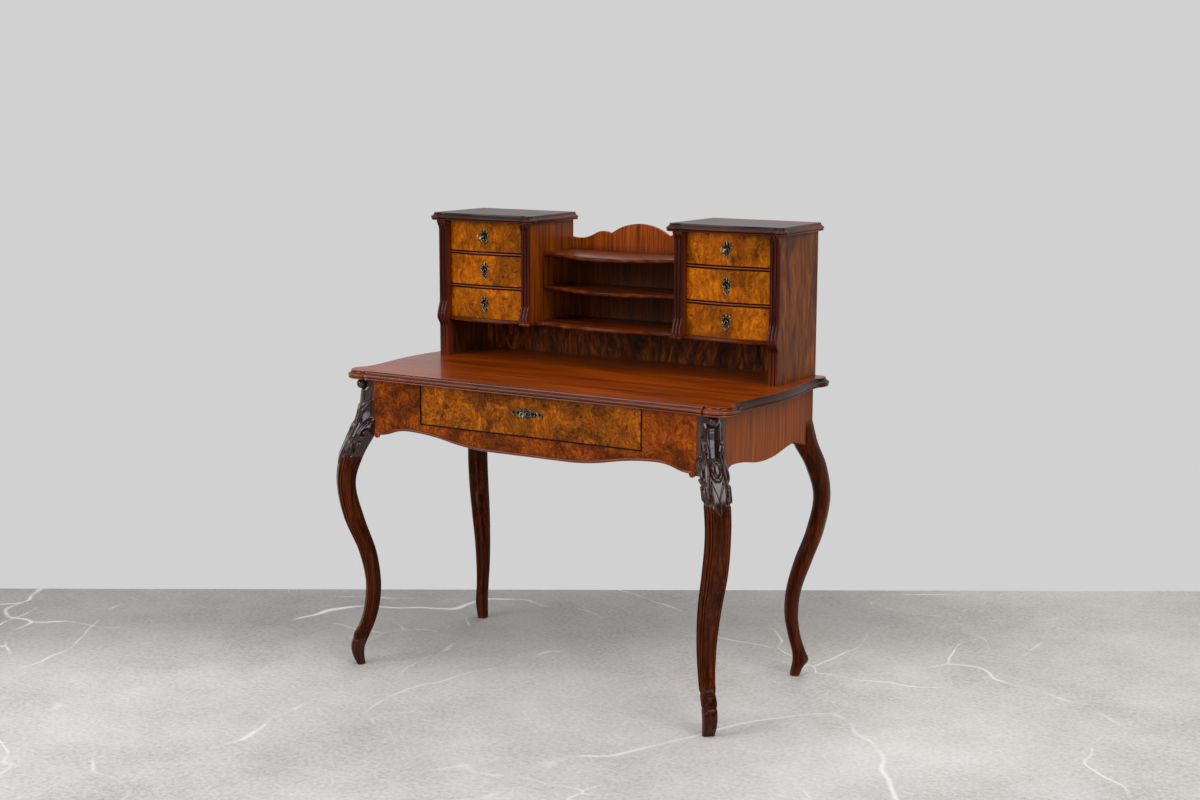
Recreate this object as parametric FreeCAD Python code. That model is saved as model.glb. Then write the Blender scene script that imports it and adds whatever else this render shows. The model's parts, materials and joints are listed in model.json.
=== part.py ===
import FreeCAD, Part
import math
import os

# Bonheur du jour: a ladies' writing desk in walnut, with a long drawer under the desk top and a
# gallery of two small cabinets (three drawers each) that stand either side of open shelves.
# Millimetres, +X to the sitter's right, -Y towards the sitter, +Z up.
# The origin is on the floor, under the middle of the desk.

V = FreeCAD.Vector

# --- driving dimensions: desk ---
desk_height = 770.0            # floor to the writing surface
desk_width = 1022.0            # over the side aprons
desk_depth = 524.0             # over the front and back aprons
desk_back = 272.0              # outer face of the back apron, from the drawing's zero line
top_thickness = 22.0
top_front_lip = 3.5            # desk top beyond the aprons: front, back and sides
top_back_lip = 20.0
top_side_lip = 30.0
top_bulge = 17.0               # how far the side edges swell out between the ears
ear_radius = 48.0              # round ears at the corners of the desk top
ear_from_side = 8.0            # ear centres, inside the outer faces of the aprons
ear_from_front = 30.0
ear_from_back = 10.0
moulding_width = 26.0          # edge moulding, planted round the board
# edge profile from the writing surface down: (set-in from the lip, depth below the surface)
top_profile = [(9.0, 0.0), (4.5, 9.0), (0.5, 11.0), (0.5, 18.0), (6.0, 22.0)]

post_side = 53.0               # square leg posts
post_length = 144.0            # below the desk top
front_cant = 34.0              # canted corner of the front posts
back_cant = 7.0
apron_thickness = 18.0
tenon_length = 15.0
tenon_thickness = 8.0
tenon_margin = 12.0            # above and below a tenon

# shaped lower edges of the aprons: depths below the desk top
apron_depth_low = 148.0
apron_depth_crest = 122.0
apron_depth_end = 140.0
crest_from_post = 96.0         # where the front apron's crest lies, from the post
low_stretch = 220.0            # level middle of the front apron
side_apron_depth_low = 146.0
side_apron_depth_crest = 128.0
side_crest_from_post = 36.0
back_apron_depth = 120.0
bead_height = 7.0
bead_proud = 5.0
bead_scroll = 8.0

# --- driving dimensions: cabriole legs, set on the diagonals of the desk ---
# stations: (height, reach out along the diagonal, depth along it, width across it)
leg_drawn_for = 770.0          # desk height the stations were drawn for
front_leg_from_side = 20.5     # foot of each diagonal, inside the faces of the aprons
front_leg_from_front = 12.5
front_leg = [(0, 35, 22, 30), (22, 42, 30, 34), (48, 43, 36, 36), (78, 32, 40, 36),
             (120, 13, 37, 37), (170, 2, 38, 42), (225, 0, 39, 48), (300, 14, 46, 55),
             (390, 47, 53, 59), (480, 64, 48, 59), (550, 49, 60, 60), (625, 10, 66, 61),
             (700, -22, 48, 52)]
back_leg_from_side = 22.7
back_leg_from_back = 27.9
back_leg = [(0, -2, 24, 28), (20, 4, 30, 32), (38, 13, 41, 34), (62, 8, 34, 34),
            (105, -5, 31, 34), (160, -14, 34, 38), (225, -9, 38, 43), (300, 15, 45, 50),
            (375, 44, 44, 54), (465, 61, 42, 55), (545, 43, 53, 54), (605, 14, 62, 55),
            (660, 0, 60, 58)]
leg_step = 60.0                # outlines are at most this far apart in height
ball_radius = 13.0             # turned balls under the front ears
ball_sides = 10
ball_bands = 5

# --- driving dimensions: gallery ---
gallery_height = 381.0         # writing surface to the top of the cornices
gallery_depth = 206.3          # cabinet sides
gallery_from_side = 7.3        # cabinet sides, inside the outer faces of the side aprons
cabinet_width = 289.3
side_thickness = 18.0
stile_width = 27.0
lip_depth = 20.0               # thickened front of the sides, behind the stiles
mid_board_rise = 105.0         # writing surface to the top of the middle board
mid_board_thickness = 10.0
rail_thickness = 10.0
cornice_thickness = 20.0
housing_depth = 4.0
back_board_inset = 14.0        # back boards, from the back edge of the desk top
back_board_thickness = 10.0
back_rebate = 5.0

stile_straight = 7.0           # how far the reeded stiles stand out from the sides
stile_top_flare = 17.0
stile_foot_flare = 19.0
top_flare_height = 26.0
foot_flare_height = 47.0
stile_tuck_height = 26.0       # return below the foot flare, on the outer stiles
flare_steps = 4                # level outlines along each of these curves
reed_count = 3
reed_groove = 1.0
reed_depth = 3.5
reed_shoulder = 2.2

cornice_overhang = 9.0
cornice_back_overhang = 6.0
cornice_reach = 19.7           # in front of the cabinet sides
cornice_bow = 8.0
cornice_ear = 20.0
cornice_ear_inset = 14.0
cornice_ear_steps = 7          # flats round each ear
cornice_bow_steps = 8
cornice_profile = [(9.0, 0.0), (4.5, 9.0), (0.5, 11.5), (0.5, 17.0), (6.0, 20.0)]

shelf_thickness = 10.0
lower_shelf_share = 0.35       # of the height between the middle board and the cornice
upper_shelf_share = 0.70
shelf_set_back = 61.3          # ends of the shelves, behind the front of the cabinet sides
upper_shelf_bow = 75.0
lower_shelf_bow = 47.0
mid_bow_set_back = 15.3        # middle board between the cabinets
mid_bow = 25.0
mid_ear_reach = 21.7           # its ears, in front of the cabinet sides
mid_ear_round = 6.0
mid_ear_overlap = 5.0
mid_nose = 10.0                # middle board in front of the drawer faces

# shaped gallery board: (share of the half width between the cabinets, depth below the cornice top)
gallery_dip = (0.821, 66.5)
gallery_shoulder = (0.653, 55.0)
gallery_hump = (0.522, 46.5)
gallery_cusp = (0.410, 52.0)
gallery_apex_depth = 23.5
gallery_end_depth = 62.0

# --- driving dimensions: drawers ---
drawer_gap = 0.5               # beside a drawer
drawer_top_gap = 0.7
drawer_floor_gap = 0.3
small_face_set_back = 11.3     # ends of the drawer faces, behind the front of the cabinet sides
small_bow = 12.0               # the faces bow forwards in the middle
small_front_thickness = 14.0   # at its ends; flat inner face
small_side = 7.0
small_box_relief = 12.7        # drawer sides lower than the opening
small_box_clearance = 7.0      # behind the box
small_bottom = 4.0
small_lap = 9.0
guide_height = 18.0

desk_drawer_from_post = 137.0  # drawer opening, from the leg posts
desk_drawer_height = 102.0     # drawer opening
desk_drawer_proud = 1.0        # in front of the front apron
desk_drawer_front_thickness = 21.0
desk_drawer_top_gap = 2.5
cockbead = 3.0
cockbead_proud = 2.0
cockbead_depth = 8.0
desk_side = 10.0
desk_box_height = 84.0
desk_box_clearance = 18.0      # behind the box
desk_bottom = 6.0
desk_lap = 12.0
runner_width = 34.0
runner_thickness = 12.0
guide_gap = 0.5
pin_share = 0.3                # dovetail pins, of the pitch
dovetail_slope = 0.2

# --- driving dimensions: locks and keys ---
desk_key_rise = 8.0            # keyhole above the middle of the drawer
lock_width = 36.0
lock_drop = 12.0               # lock case below its keyhole
lock_depth = 9.0
bolt_width = 14.0
bolt_thickness = 3.6
bolt_throw = 6.5
bolt_gap = 0.3
mortise_gap = 0.6
mortise_spare = 1.5            # above the thrown bolt
key_shaft = 2.25               # radius
key_fit = 0.05
key_bit = 6.0                  # reach of the key's bit from its axis
key_bit_thickness = 3.0
key_bit_gap = 0.8
key_short = 0.5                # shaft ends inside the back of the lock
key_stand_off = 24.0           # drawer face to the middle of the bow
key_ring = 7.0
key_wire = 1.6
ring_sides = 12
keyhole_radius = 3.4
keyhole_sides = 8
keyhole_slack = 0.4
plate_thickness = 1.2
# half outlines of the escutcheons, top to bottom: (across, up)
small_plate = [(0, 18), (6, 15), (10, 6), (5, -4), (6, -11), (0, -18)]
desk_plate = [(0, 13), (16, 11), (28, 5), (50, 4), (50, -4), (28, -5), (16, -11), (0, -13)]

# --- positions that follow ---
top_underside = desk_height - top_thickness
frame_half_width = desk_width / 2.0
frame_back = desk_back
frame_front = desk_back - desk_depth
post_inner = frame_half_width - post_side
post_bottom = top_underside - post_length
apron_low = top_underside - apron_depth_low
apron_crest = top_underside - apron_depth_crest
apron_end = top_underside - apron_depth_end
side_apron_low = top_underside - side_apron_depth_low
side_apron_crest = top_underside - side_apron_depth_crest

top_front = frame_front - top_front_lip
top_back = frame_back + top_back_lip
top_neck = frame_half_width + top_side_lip
ear_x = frame_half_width - ear_from_side
ear_front_y = frame_front + ear_from_front
ear_back_y = frame_back - ear_from_back

overall_height = desk_height + gallery_height
cornice_bottom = overall_height - cornice_thickness
mid_board_top = desk_height + mid_board_rise
cabinet_outer = frame_half_width - gallery_from_side
cabinet_inner = cabinet_outer - cabinet_width
gallery_front = top_back - gallery_depth
back_board_front = top_back - back_board_inset

drawer_left = cabinet_inner + stile_width        # ends of a small drawer's opening, on the
drawer_right = cabinet_outer - stile_width       # right-hand cabinet
drawer_middle = (drawer_left + drawer_right) / 2.0
opening_height = (cornice_bottom - mid_board_top - 2 * rail_thickness) / 3.0
small_face_edge = gallery_front + small_face_set_back
small_front_back = small_face_edge + small_front_thickness
small_box_back = back_board_front - small_box_clearance

desk_drawer_half_width = post_inner - desk_drawer_from_post
desk_drawer_floor = top_underside - desk_drawer_height
desk_drawer_face = frame_front - desk_drawer_proud
desk_front_back = desk_drawer_face + desk_drawer_front_thickness
desk_box_back = frame_back - apron_thickness - desk_box_clearance

pieces = {}


def box(x0, x1, y0, y1, z0, z1):
    return Part.makeBox(x1 - x0, y1 - y0, z1 - z0, V(x0, y0, z0))


def mirrored(shape):
    """The same piece on the other side of the desk."""
    return shape.mirror(V(0, 0, 0), V(1, 0, 0))


def line(a, b):
    return Part.LineSegment(V(*a), V(*b)).toShape()


def arc(a, b, c):
    return Part.Arc(V(*a), V(*b), V(*c)).toShape()


def ogee(a, b, along):
    """Two equal arcs from a to b that leave and arrive in the direction given."""
    start, end, along = V(*a), V(*b), V(*along)
    half = (end - start) * 0.5
    run = half.dot(along)
    across = half - along * run
    rise = across.Length
    radius = (run ** 2 + rise ** 2) / (2.0 * rise)
    angle = math.asin(run / radius) / 2.0
    offset = (along * (radius * math.sin(angle))
              + across * (radius * (1.0 - math.cos(angle)) / rise))
    middle = start + half
    return [Part.Arc(start, start + offset, middle).toShape(),
            Part.Arc(middle, end - offset, end).toShape()]


def swell(a, b, c, along):
    """From a out to b and back to c, smooth, in the same direction at all three."""
    return ogee(a, b, along) + ogee(b, c, along)


def prism(edges, direction):
    return Part.Face(Part.Wire(edges)).extrude(V(*direction))


def polygon(points, direction):
    wire = Part.makePolygon([V(*p) for p in points + points[:1]])
    return Part.Face(wire).extrude(V(*direction))


def skin(outlines):
    """A solid with flat facets through level outlines that have the same number of corners."""
    faces = [Part.Face(Part.makePolygon(ends + ends[:1])) for ends in (outlines[0], outlines[-1])]
    for near, far in zip(outlines, outlines[1:]):
        for i in range(len(near)):
            k = i - 1
            for corners in ([near[k], near[i], far[i]], [near[k], far[i], far[k]]):
                faces.append(Part.Face(Part.makePolygon(corners + corners[:1])))
    solid = Part.Solid(Part.Shell(faces))
    if solid.Volume < 0:
        solid.reverse()
    return solid.removeSplitter()


# ---------------------------------------------------------------- boards with ears

def desk_top_outline(z, inset):
    """Front and sides are set in; the back edge is plain. Round ears at all four corners."""
    radius = ear_radius - inset
    neck = top_neck - inset
    front = top_front + inset
    bulge = neck + top_bulge
    ear_meets_front = ear_x - math.sqrt(radius ** 2 - (front - ear_front_y) ** 2)
    front_notch = ear_front_y + math.sqrt(radius ** 2 - (neck - ear_x) ** 2)
    back_notch = ear_back_y - math.sqrt(radius ** 2 - (neck - ear_x) ** 2)
    ear_meets_back = ear_x + math.sqrt(radius ** 2 - (top_back - ear_back_y) ** 2)
    middle = (front_notch + back_notch) / 2.0
    tip = radius * math.sqrt(0.5)
    edges = [line((-ear_meets_front, front, z), (ear_meets_front, front, z))]
    edges.append(arc((ear_meets_front, front, z), (ear_x + tip, ear_front_y - tip, z),
                     (neck, front_notch, z)))
    edges += swell((neck, front_notch, z), (bulge, middle, z), (neck, back_notch, z), (0, 1, 0))
    edges.append(arc((neck, back_notch, z), (ear_x + radius, ear_back_y, z),
                     (ear_meets_back, top_back, z)))
    edges.append(line((ear_meets_back, top_back, z), (-ear_meets_back, top_back, z)))
    edges.append(arc((-ear_meets_back, top_back, z), (-ear_x - radius, ear_back_y, z),
                     (-neck, back_notch, z)))
    edges += swell((-neck, back_notch, z), (-bulge, middle, z), (-neck, front_notch, z),
                   (0, -1, 0))
    edges.append(arc((-neck, front_notch, z), (-ear_x - tip, ear_front_y - tip, z),
                     (-ear_meets_front, front, z)))
    return Part.Wire(edges)


def make_desk_top():
    outlines = [desk_top_outline(desk_height - depth, inset) for inset, depth in top_profile]
    whole = Part.makeLoft(outlines, True, True)
    edge = top_neck - moulding_width
    front = top_front + moulding_width
    middle = (front + top_back) / 2.0
    z = top_underside
    core = prism([line((-edge, front, z), (edge, front, z))]
                 + swell((edge, front, z), (edge + top_bulge, middle, z), (edge, top_back, z),
                         (0, 1, 0))
                 + [line((edge, top_back, z), (-edge, top_back, z))]
                 + swell((-edge, top_back, z), (-edge - top_bulge, middle, z), (-edge, front, z),
                         (0, -1, 0)),
                 (0, 0, top_thickness))
    mortise = bolt_mortise(0.0, desk_front_back, top_underside)
    pieces["desk_top"] = core.cut(mortise)
    pieces["desk_top_moulding"] = whole.cut(core).cut(mortise)


def cornice_outline(z, inset):
    """Bowed front between two round ears, straight sides and back, from the left ear onwards."""
    left = cabinet_inner - cornice_overhang + inset
    right = cabinet_outer + cornice_overhang - inset
    front = gallery_front - cornice_reach + inset
    back = back_board_front + back_board_thickness + cornice_back_overhang
    radius = cornice_ear - inset
    set_in = cornice_ear_inset - inset
    sweep = math.pi / 2.0 + 2.0 * math.asin(set_in / radius)
    corner = []                    # the right-hand ear about its centre, from the front round
    for i in range(cornice_ear_steps + 1):
        angle = sweep * (i / cornice_ear_steps - 0.5) - math.pi / 4.0
        corner.append((radius * math.cos(angle), radius * math.sin(angle)))
    ear_y = front + set_in
    points = [(left + set_in - across, ear_y + deep) for across, deep in corner[::-1]]
    start, end = points[-1][0], right - set_in + corner[0][0]
    for i in range(1, cornice_bow_steps):
        share = i / cornice_bow_steps
        points.append((start + (end - start) * share,
                       front - cornice_bow * math.sin(math.pi * share) ** 2))
    points += [(right - set_in + across, ear_y + deep) for across, deep in corner]
    points += [(right, back), (left, back)]
    return [V(x, y, z) for x, y in points]


def make_cabinet_tops():
    top = skin([cornice_outline(overall_height - depth, inset)
                for inset, depth in cornice_profile])
    top = top.cut(bolt_mortise(drawer_middle, small_front_back, cornice_bottom))
    pieces["cabinet_top_right"] = top
    pieces["cabinet_top_left"] = mirrored(top)


# ---------------------------------------------------------------- legs

def fluted_section(half_depth, half_width):
    """Front legs: a flute between two beads on the outer face. (outwards, across) pairs."""
    a, b = half_depth, half_width
    half = [(-a, 0.45 * b), (0.1 * a, b), (0.9 * a, 0.85 * b), (0.95 * a, 0.6 * b),
            (0.78 * a, 0.35 * b)]
    return half + [(out, -across) for out, across in reversed(half)]


def chamfered_section(half_depth, half_width):
    """Back legs: a square set on its corner, with the corners taken off."""
    a, b = half_depth, half_width
    half = [(-a, 0.32 * b), (-0.25 * a, b), (0.22 * a, b), (a, 0.22 * b)]
    return half + [(out, -across) for out, across in reversed(half)]


def smooth_stations(stations):
    """More stations, on smooth curves through the given ones, for the height of the desk."""
    last = len(stations) - 1
    slopes = []
    for i in range(last + 1):
        before, after = stations[max(i - 1, 0)], stations[min(i + 1, last)]
        slopes.append([(b - a) / (after[0] - before[0]) for a, b in zip(before, after)])
    smooth = []
    for i in range(last):
        span = stations[i + 1][0] - stations[i][0]
        steps = math.ceil(span / leg_step)
        for k in range(steps):
            t = k / steps
            smooth.append([(2 * t ** 3 - 3 * t ** 2 + 1) * a + (t ** 3 - 2 * t ** 2 + t) * span * p
                           + (3 * t ** 2 - 2 * t ** 3) * b + (t ** 3 - t ** 2) * span * q
                           for a, b, p, q in zip(stations[i], stations[i + 1],
                                                 slopes[i], slopes[i + 1])])
    smooth.append(stations[last])
    stretch = desk_height / leg_drawn_for
    return [(height * stretch, reach, depth, width) for height, reach, depth, width in smooth]


def leg_outline(section, station, origin_x, origin_y):
    """One level outline of a leg whose diagonal runs from its origin towards its own corner."""
    height, reach, depth, width = station
    side = 1.0 if origin_y > 0 else -1.0
    d = math.sqrt(0.5)
    return [V(origin_x + d * (reach + out - across),
              origin_y + side * d * (reach + out + across), height)
            for out, across in section(depth / 2.0, width / 2.0)]


def make_leg(section, stations, origin_x, origin_y, cant, outer_y):
    leg = skin([leg_outline(section, station, origin_x, origin_y)
                for station in smooth_stations(stations)])
    out = 1.0 if outer_y > 0 else -1.0
    x, y = frame_half_width, outer_y
    post = polygon([(x - post_side, y, post_bottom), (x - cant, y, post_bottom),
                    (x, y - out * cant, post_bottom), (x, y - out * post_side, post_bottom),
                    (x - post_side, y - out * post_side, post_bottom)],
                   (0, 0, top_underside - post_bottom))
    return post.fuse(leg).removeSplitter()


def ring_points(radius, sides, turn=0.5):
    """Corners of a regular outline round zero."""
    return [(radius * math.cos(2 * math.pi * (i + turn) / sides),
             radius * math.sin(2 * math.pi * (i + turn) / sides)) for i in range(sides)]


def turned_ball(x, y, z):
    """A ball in narrow flats round an upright axis, level where it touches the desk top."""
    rings = []
    for band in range(ball_bands + 1):
        angle = math.pi * (band + 0.5) / (ball_bands + 1)
        height = z + ball_radius * math.cos(angle) / math.cos(math.pi / 2 / (ball_bands + 1))
        rings.append([V(x + across, y + deep, height) for across, deep
                      in ring_points(ball_radius * math.sin(angle), ball_sides)])
    return skin(rings)


def make_legs_and_aprons():
    front_inner = frame_front + post_side
    back_inner = frame_back - post_side
    tenon_low = apron_crest + tenon_margin
    tenon_high = top_underside - tenon_margin
    shoulder = (apron_thickness - tenon_thickness) / 2.0

    def long_edge(y, rise):
        """Lower edge of the front apron, from left to right."""
        crest = post_inner - crest_from_post
        low = low_stretch / 2.0
        points = [(-post_inner, apron_end), (-crest, apron_crest), (-low, apron_low),
                  (low, apron_low), (crest, apron_crest), (post_inner, apron_end)]
        edges = []
        for (xa, za), (xb, zb) in zip(points, points[1:]):
            start, end = (xa, y, za + rise), (xb, y, zb + rise)
            edges += [line(start, end)] if za == zb else ogee(start, end, (1, 0, 0))
        return edges

    # front apron: the long drawer drops into a notch in its upper edge
    y0, y1 = frame_front, frame_front + apron_thickness
    opening = desk_drawer_half_width
    front = prism(long_edge(y0, 0.0)
                  + [line((post_inner, y0, apron_end), (post_inner, y0, top_underside)),
                     line((post_inner, y0, top_underside), (opening, y0, top_underside)),
                     line((opening, y0, top_underside), (opening, y0, desk_drawer_floor)),
                     line((opening, y0, desk_drawer_floor), (-opening, y0, desk_drawer_floor)),
                     line((-opening, y0, desk_drawer_floor), (-opening, y0, top_underside)),
                     line((-opening, y0, top_underside), (-post_inner, y0, top_underside)),
                     line((-post_inner, y0, top_underside), (-post_inner, y0, apron_end))],
                  (0, apron_thickness, 0))
    front_tenons = [box(min(side * post_inner, side * (post_inner + tenon_length)),
                        max(side * post_inner, side * (post_inner + tenon_length)),
                        y0 + shoulder, y1 - shoulder, tenon_low, tenon_high)
                    for side in (-1, 1)]
    pieces["apron_front"] = front.multiFuse(front_tenons).removeSplitter()

    # bead planted along the lower edge, with a small scroll at each end
    y = frame_front - bead_proud
    end = post_inner
    upper = apron_end + bead_height
    bead = prism(long_edge(y, 0.0) + [line((end, y, apron_end), (end, y, upper))]
                 + long_edge(y, bead_height)[::-1]
                 + [line((-end, y, upper), (-end, y, apron_end))],
                 (0, bead_proud, 0))
    scrolls = [polygon([(side * (end - bead_scroll) + across, y, apron_end + up)
                        for across, up in ring_points(bead_scroll, ring_sides)],
                       (0, bead_proud, 0)) for side in (-1, 1)]
    bead = bead.multiFuse(scrolls).removeSplitter()

    # side aprons
    x0, x1 = frame_half_width - apron_thickness, frame_half_width
    middle = (front_inner + back_inner) / 2.0
    crest = side_crest_from_post
    points = [(front_inner, apron_end), (front_inner + crest, side_apron_crest),
              (middle, side_apron_low), (back_inner - crest, side_apron_crest),
              (back_inner, apron_end)]
    edges = []
    for (ya, za), (yb, zb) in zip(points, points[1:]):
        edges += ogee((x0, ya, za), (x0, yb, zb), (0, 1, 0))
    right = prism(edges
                  + [line((x0, back_inner, apron_end), (x0, back_inner, top_underside)),
                     line((x0, back_inner, top_underside), (x0, front_inner, top_underside)),
                     line((x0, front_inner, top_underside), (x0, front_inner, apron_end))],
                  (apron_thickness, 0, 0))
    side_tenons = [box(x0 + shoulder, x1 - shoulder, front_inner - tenon_length, front_inner,
                       tenon_low, tenon_high),
                   box(x0 + shoulder, x1 - shoulder, back_inner, back_inner + tenon_length,
                       tenon_low, tenon_high)]
    right = right.multiFuse(side_tenons).removeSplitter()
    pieces["apron_right"] = right
    pieces["apron_left"] = mirrored(right)

    # back apron
    y0, y1 = frame_back - apron_thickness, frame_back
    back_tenon = box(-post_inner - tenon_length, post_inner + tenon_length,
                     y0 + shoulder, y1 - shoulder, tenon_low, tenon_high)
    board = box(-post_inner, post_inner, y0, y1, top_underside - back_apron_depth, top_underside)
    back = board.fuse(back_tenon).removeSplitter()
    pieces["apron_back"] = back

    # legs, mortised for the tenons
    front_leg_right = make_leg(fluted_section, front_leg,
                               frame_half_width - front_leg_from_side,
                               frame_front + front_leg_from_front, front_cant, frame_front)
    for seated in (pieces["apron_front"], right):
        front_leg_right = front_leg_right.cut(seated)
    back_leg_right = make_leg(chamfered_section, back_leg,
                              frame_half_width - back_leg_from_side,
                              frame_back - back_leg_from_back, back_cant, frame_back)
    for seated in (back, right):
        back_leg_right = back_leg_right.cut(seated)
    pieces["apron_bead"] = bead.cut(front_leg_right).cut(mirrored(front_leg_right))
    pieces["leg_front_right"] = front_leg_right
    pieces["leg_front_left"] = mirrored(front_leg_right)
    pieces["leg_back_right"] = back_leg_right
    pieces["leg_back_left"] = mirrored(back_leg_right)

    # turned balls under the front ears of the desk top
    d = math.sqrt(0.5)
    ball_x = frame_half_width - front_cant / 2.0 + d * ball_radius
    ball_y = frame_front + front_cant / 2.0 - d * ball_radius
    ball = turned_ball(ball_x, ball_y, top_underside - ball_radius)
    pieces["ear_balls"] = Part.Compound([ball, mirrored(ball)])


def make_runners():
    """L-shaped runners carry and guide the long drawer, from the front apron to the back one."""
    y0 = frame_front + apron_thickness
    y1 = frame_back - apron_thickness
    inner = desk_drawer_half_width + guide_gap
    outer = inner + runner_width / 2.0
    runner = box(inner - runner_width / 2.0, outer, y0, y1,
                 desk_drawer_floor - runner_thickness, desk_drawer_floor)
    guide = box(inner, outer, y0, y1, desk_drawer_floor, desk_drawer_floor + desk_box_height / 2.0)
    runner = runner.fuse(guide).removeSplitter()
    pieces["desk_drawer_runners"] = Part.Compound([runner, mirrored(runner)])


# ---------------------------------------------------------------- gallery carcass

def stile_path(bottom):
    """Side view of a reeded stile as (height, forwards): it curls forwards under the cornice and
    again at its foot, and the outer stiles tuck back below that."""
    bends = [(cornice_bottom, stile_top_flare, cornice_bottom - top_flare_height, stile_straight),
             (mid_board_top + foot_flare_height, stile_straight, mid_board_top,
              stile_foot_flare)]
    if bottom < mid_board_top:
        bends.append((mid_board_top, stile_foot_flare, mid_board_top - stile_tuck_height,
                      stile_straight))
    path = []
    for z_start, start, z_end, end in bends:
        for i in range(flare_steps + 1):
            share = i / flare_steps
            blend = (1.0 - math.cos(math.pi * share)) / 2.0
            point = (z_start + (z_end - z_start) * share, start + (end - start) * blend)
            if point not in path:
                path.append(point)
    if bottom < mid_board_top:
        path.append((bottom, stile_straight))
    return path


def make_stile(x0, bottom):
    """Three reeds side by side, from the cornice down."""
    reed_width = (stile_width - (reed_count - 1) * reed_groove) / reed_count
    front = []
    for i in range(reed_count):
        left = x0 + i * (reed_width + reed_groove)
        right = left + reed_width
        front += [(left, reed_depth), (left + reed_shoulder, 0.0),
                  (right - reed_shoulder, 0.0), (right, reed_depth)]
    outlines = []
    for z, forwards in stile_path(bottom):
        corners = [V(x, gallery_front - forwards + set_back, z) for x, set_back in front]
        corners += [V(x0 + stile_width, gallery_front, z), V(x0, gallery_front, z)]
        outlines.append(corners)
    return skin(outlines)


def middle_board_outline(z):
    """Right half of the front edge, mirrored: bows below the drawers, ears below the inner
    stiles and a long swell between the cabinets."""
    bow = gallery_front + mid_bow_set_back
    nose = small_face_edge - mid_nose
    ear_out = drawer_left
    ear_in = cabinet_inner - mid_ear_overlap
    ear_middle = (ear_out + ear_in) / 2.0
    ear = gallery_front - mid_ear_reach
    cheek = ear + mid_ear_round
    back = back_board_front
    lip = gallery_front + lip_depth
    wide = cabinet_outer - side_thickness + housing_depth
    return (swell((-ear_in, bow, z), (0, bow - mid_bow, z), (ear_in, bow, z), (1, 0, 0))
            + [line((ear_in, bow, z), (ear_in, cheek, z)),
               arc((ear_in, cheek, z), (ear_middle, ear, z), (ear_out, cheek, z)),
               line((ear_out, cheek, z), (ear_out, nose, z)),
               arc((ear_out, nose, z), (drawer_middle, nose - small_bow, z),
                   (drawer_right, nose, z)),
               line((drawer_right, nose, z), (drawer_right, lip, z)),
               line((drawer_right, lip, z), (wide, lip, z)),
               line((wide, lip, z), (wide, back, z)),
               line((wide, back, z), (-wide, back, z)),
               line((-wide, back, z), (-wide, lip, z)),
               line((-wide, lip, z), (-drawer_right, lip, z)),
               line((-drawer_right, lip, z), (-drawer_right, nose, z)),
               arc((-drawer_right, nose, z), (-drawer_middle, nose - small_bow, z),
                   (-ear_out, nose, z)),
               line((-ear_out, nose, z), (-ear_out, cheek, z)),
               arc((-ear_out, cheek, z), (-ear_middle, ear, z), (-ear_in, cheek, z)),
               line((-ear_in, cheek, z), (-ear_in, bow, z))])


def rail_board(z):
    """A dust board between two drawers, housed in both sides, with a bowed front edge."""
    lip = gallery_front + lip_depth
    left = cabinet_inner + side_thickness - housing_depth
    right = cabinet_outer - side_thickness + housing_depth
    edge = small_face_edge
    return prism([arc((drawer_left, edge, z), (drawer_middle, edge - small_bow, z),
                      (drawer_right, edge, z)),
                  line((drawer_right, edge, z), (drawer_right, lip, z)),
                  line((drawer_right, lip, z), (right, lip, z)),
                  line((right, lip, z), (right, back_board_front, z)),
                  line((right, back_board_front, z), (left, back_board_front, z)),
                  line((left, back_board_front, z), (left, lip, z)),
                  line((left, lip, z), (drawer_left, lip, z)),
                  line((drawer_left, lip, z), (drawer_left, edge, z))],
                 (0, 0, rail_thickness))


def shelf(share, bow):
    z = mid_board_top + share * (cornice_bottom - mid_board_top) - shelf_thickness
    end = cabinet_inner + back_rebate
    y = gallery_front + shelf_set_back
    return prism(swell((-end, y, z), (0, y - bow, z), (end, y, z), (1, 0, 0))
                 + [line((end, y, z), (end, back_board_front, z)),
                    line((end, back_board_front, z), (-end, back_board_front, z)),
                    line((-end, back_board_front, z), (-end, y, z))],
                 (0, 0, shelf_thickness))


def gallery_outline():
    """The shaped board above the shelves: a tall arch between two small humps."""
    y = back_board_front
    end = cabinet_inner + back_rebate

    def at(point, side):
        return (side * point[0] * cabinet_inner, y, overall_height - point[1])

    def flank(side):
        """From the cusp beside the arch out and down to the middle board."""
        corner = (side * end, y, overall_height - gallery_end_depth)
        return [arc(at(gallery_cusp, side), at(gallery_hump, side), at(gallery_shoulder, side)),
                arc(at(gallery_shoulder, side), at(gallery_dip, side), corner),
                line(corner, (side * end, y, mid_board_top))]

    apex = (0, y, overall_height - gallery_apex_depth)
    return ([arc(at(gallery_cusp, -1), apex, at(gallery_cusp, 1))]
            + flank(1) + [line((end, y, mid_board_top), (-end, y, mid_board_top))]
            + flank(-1)[::-1])


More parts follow.
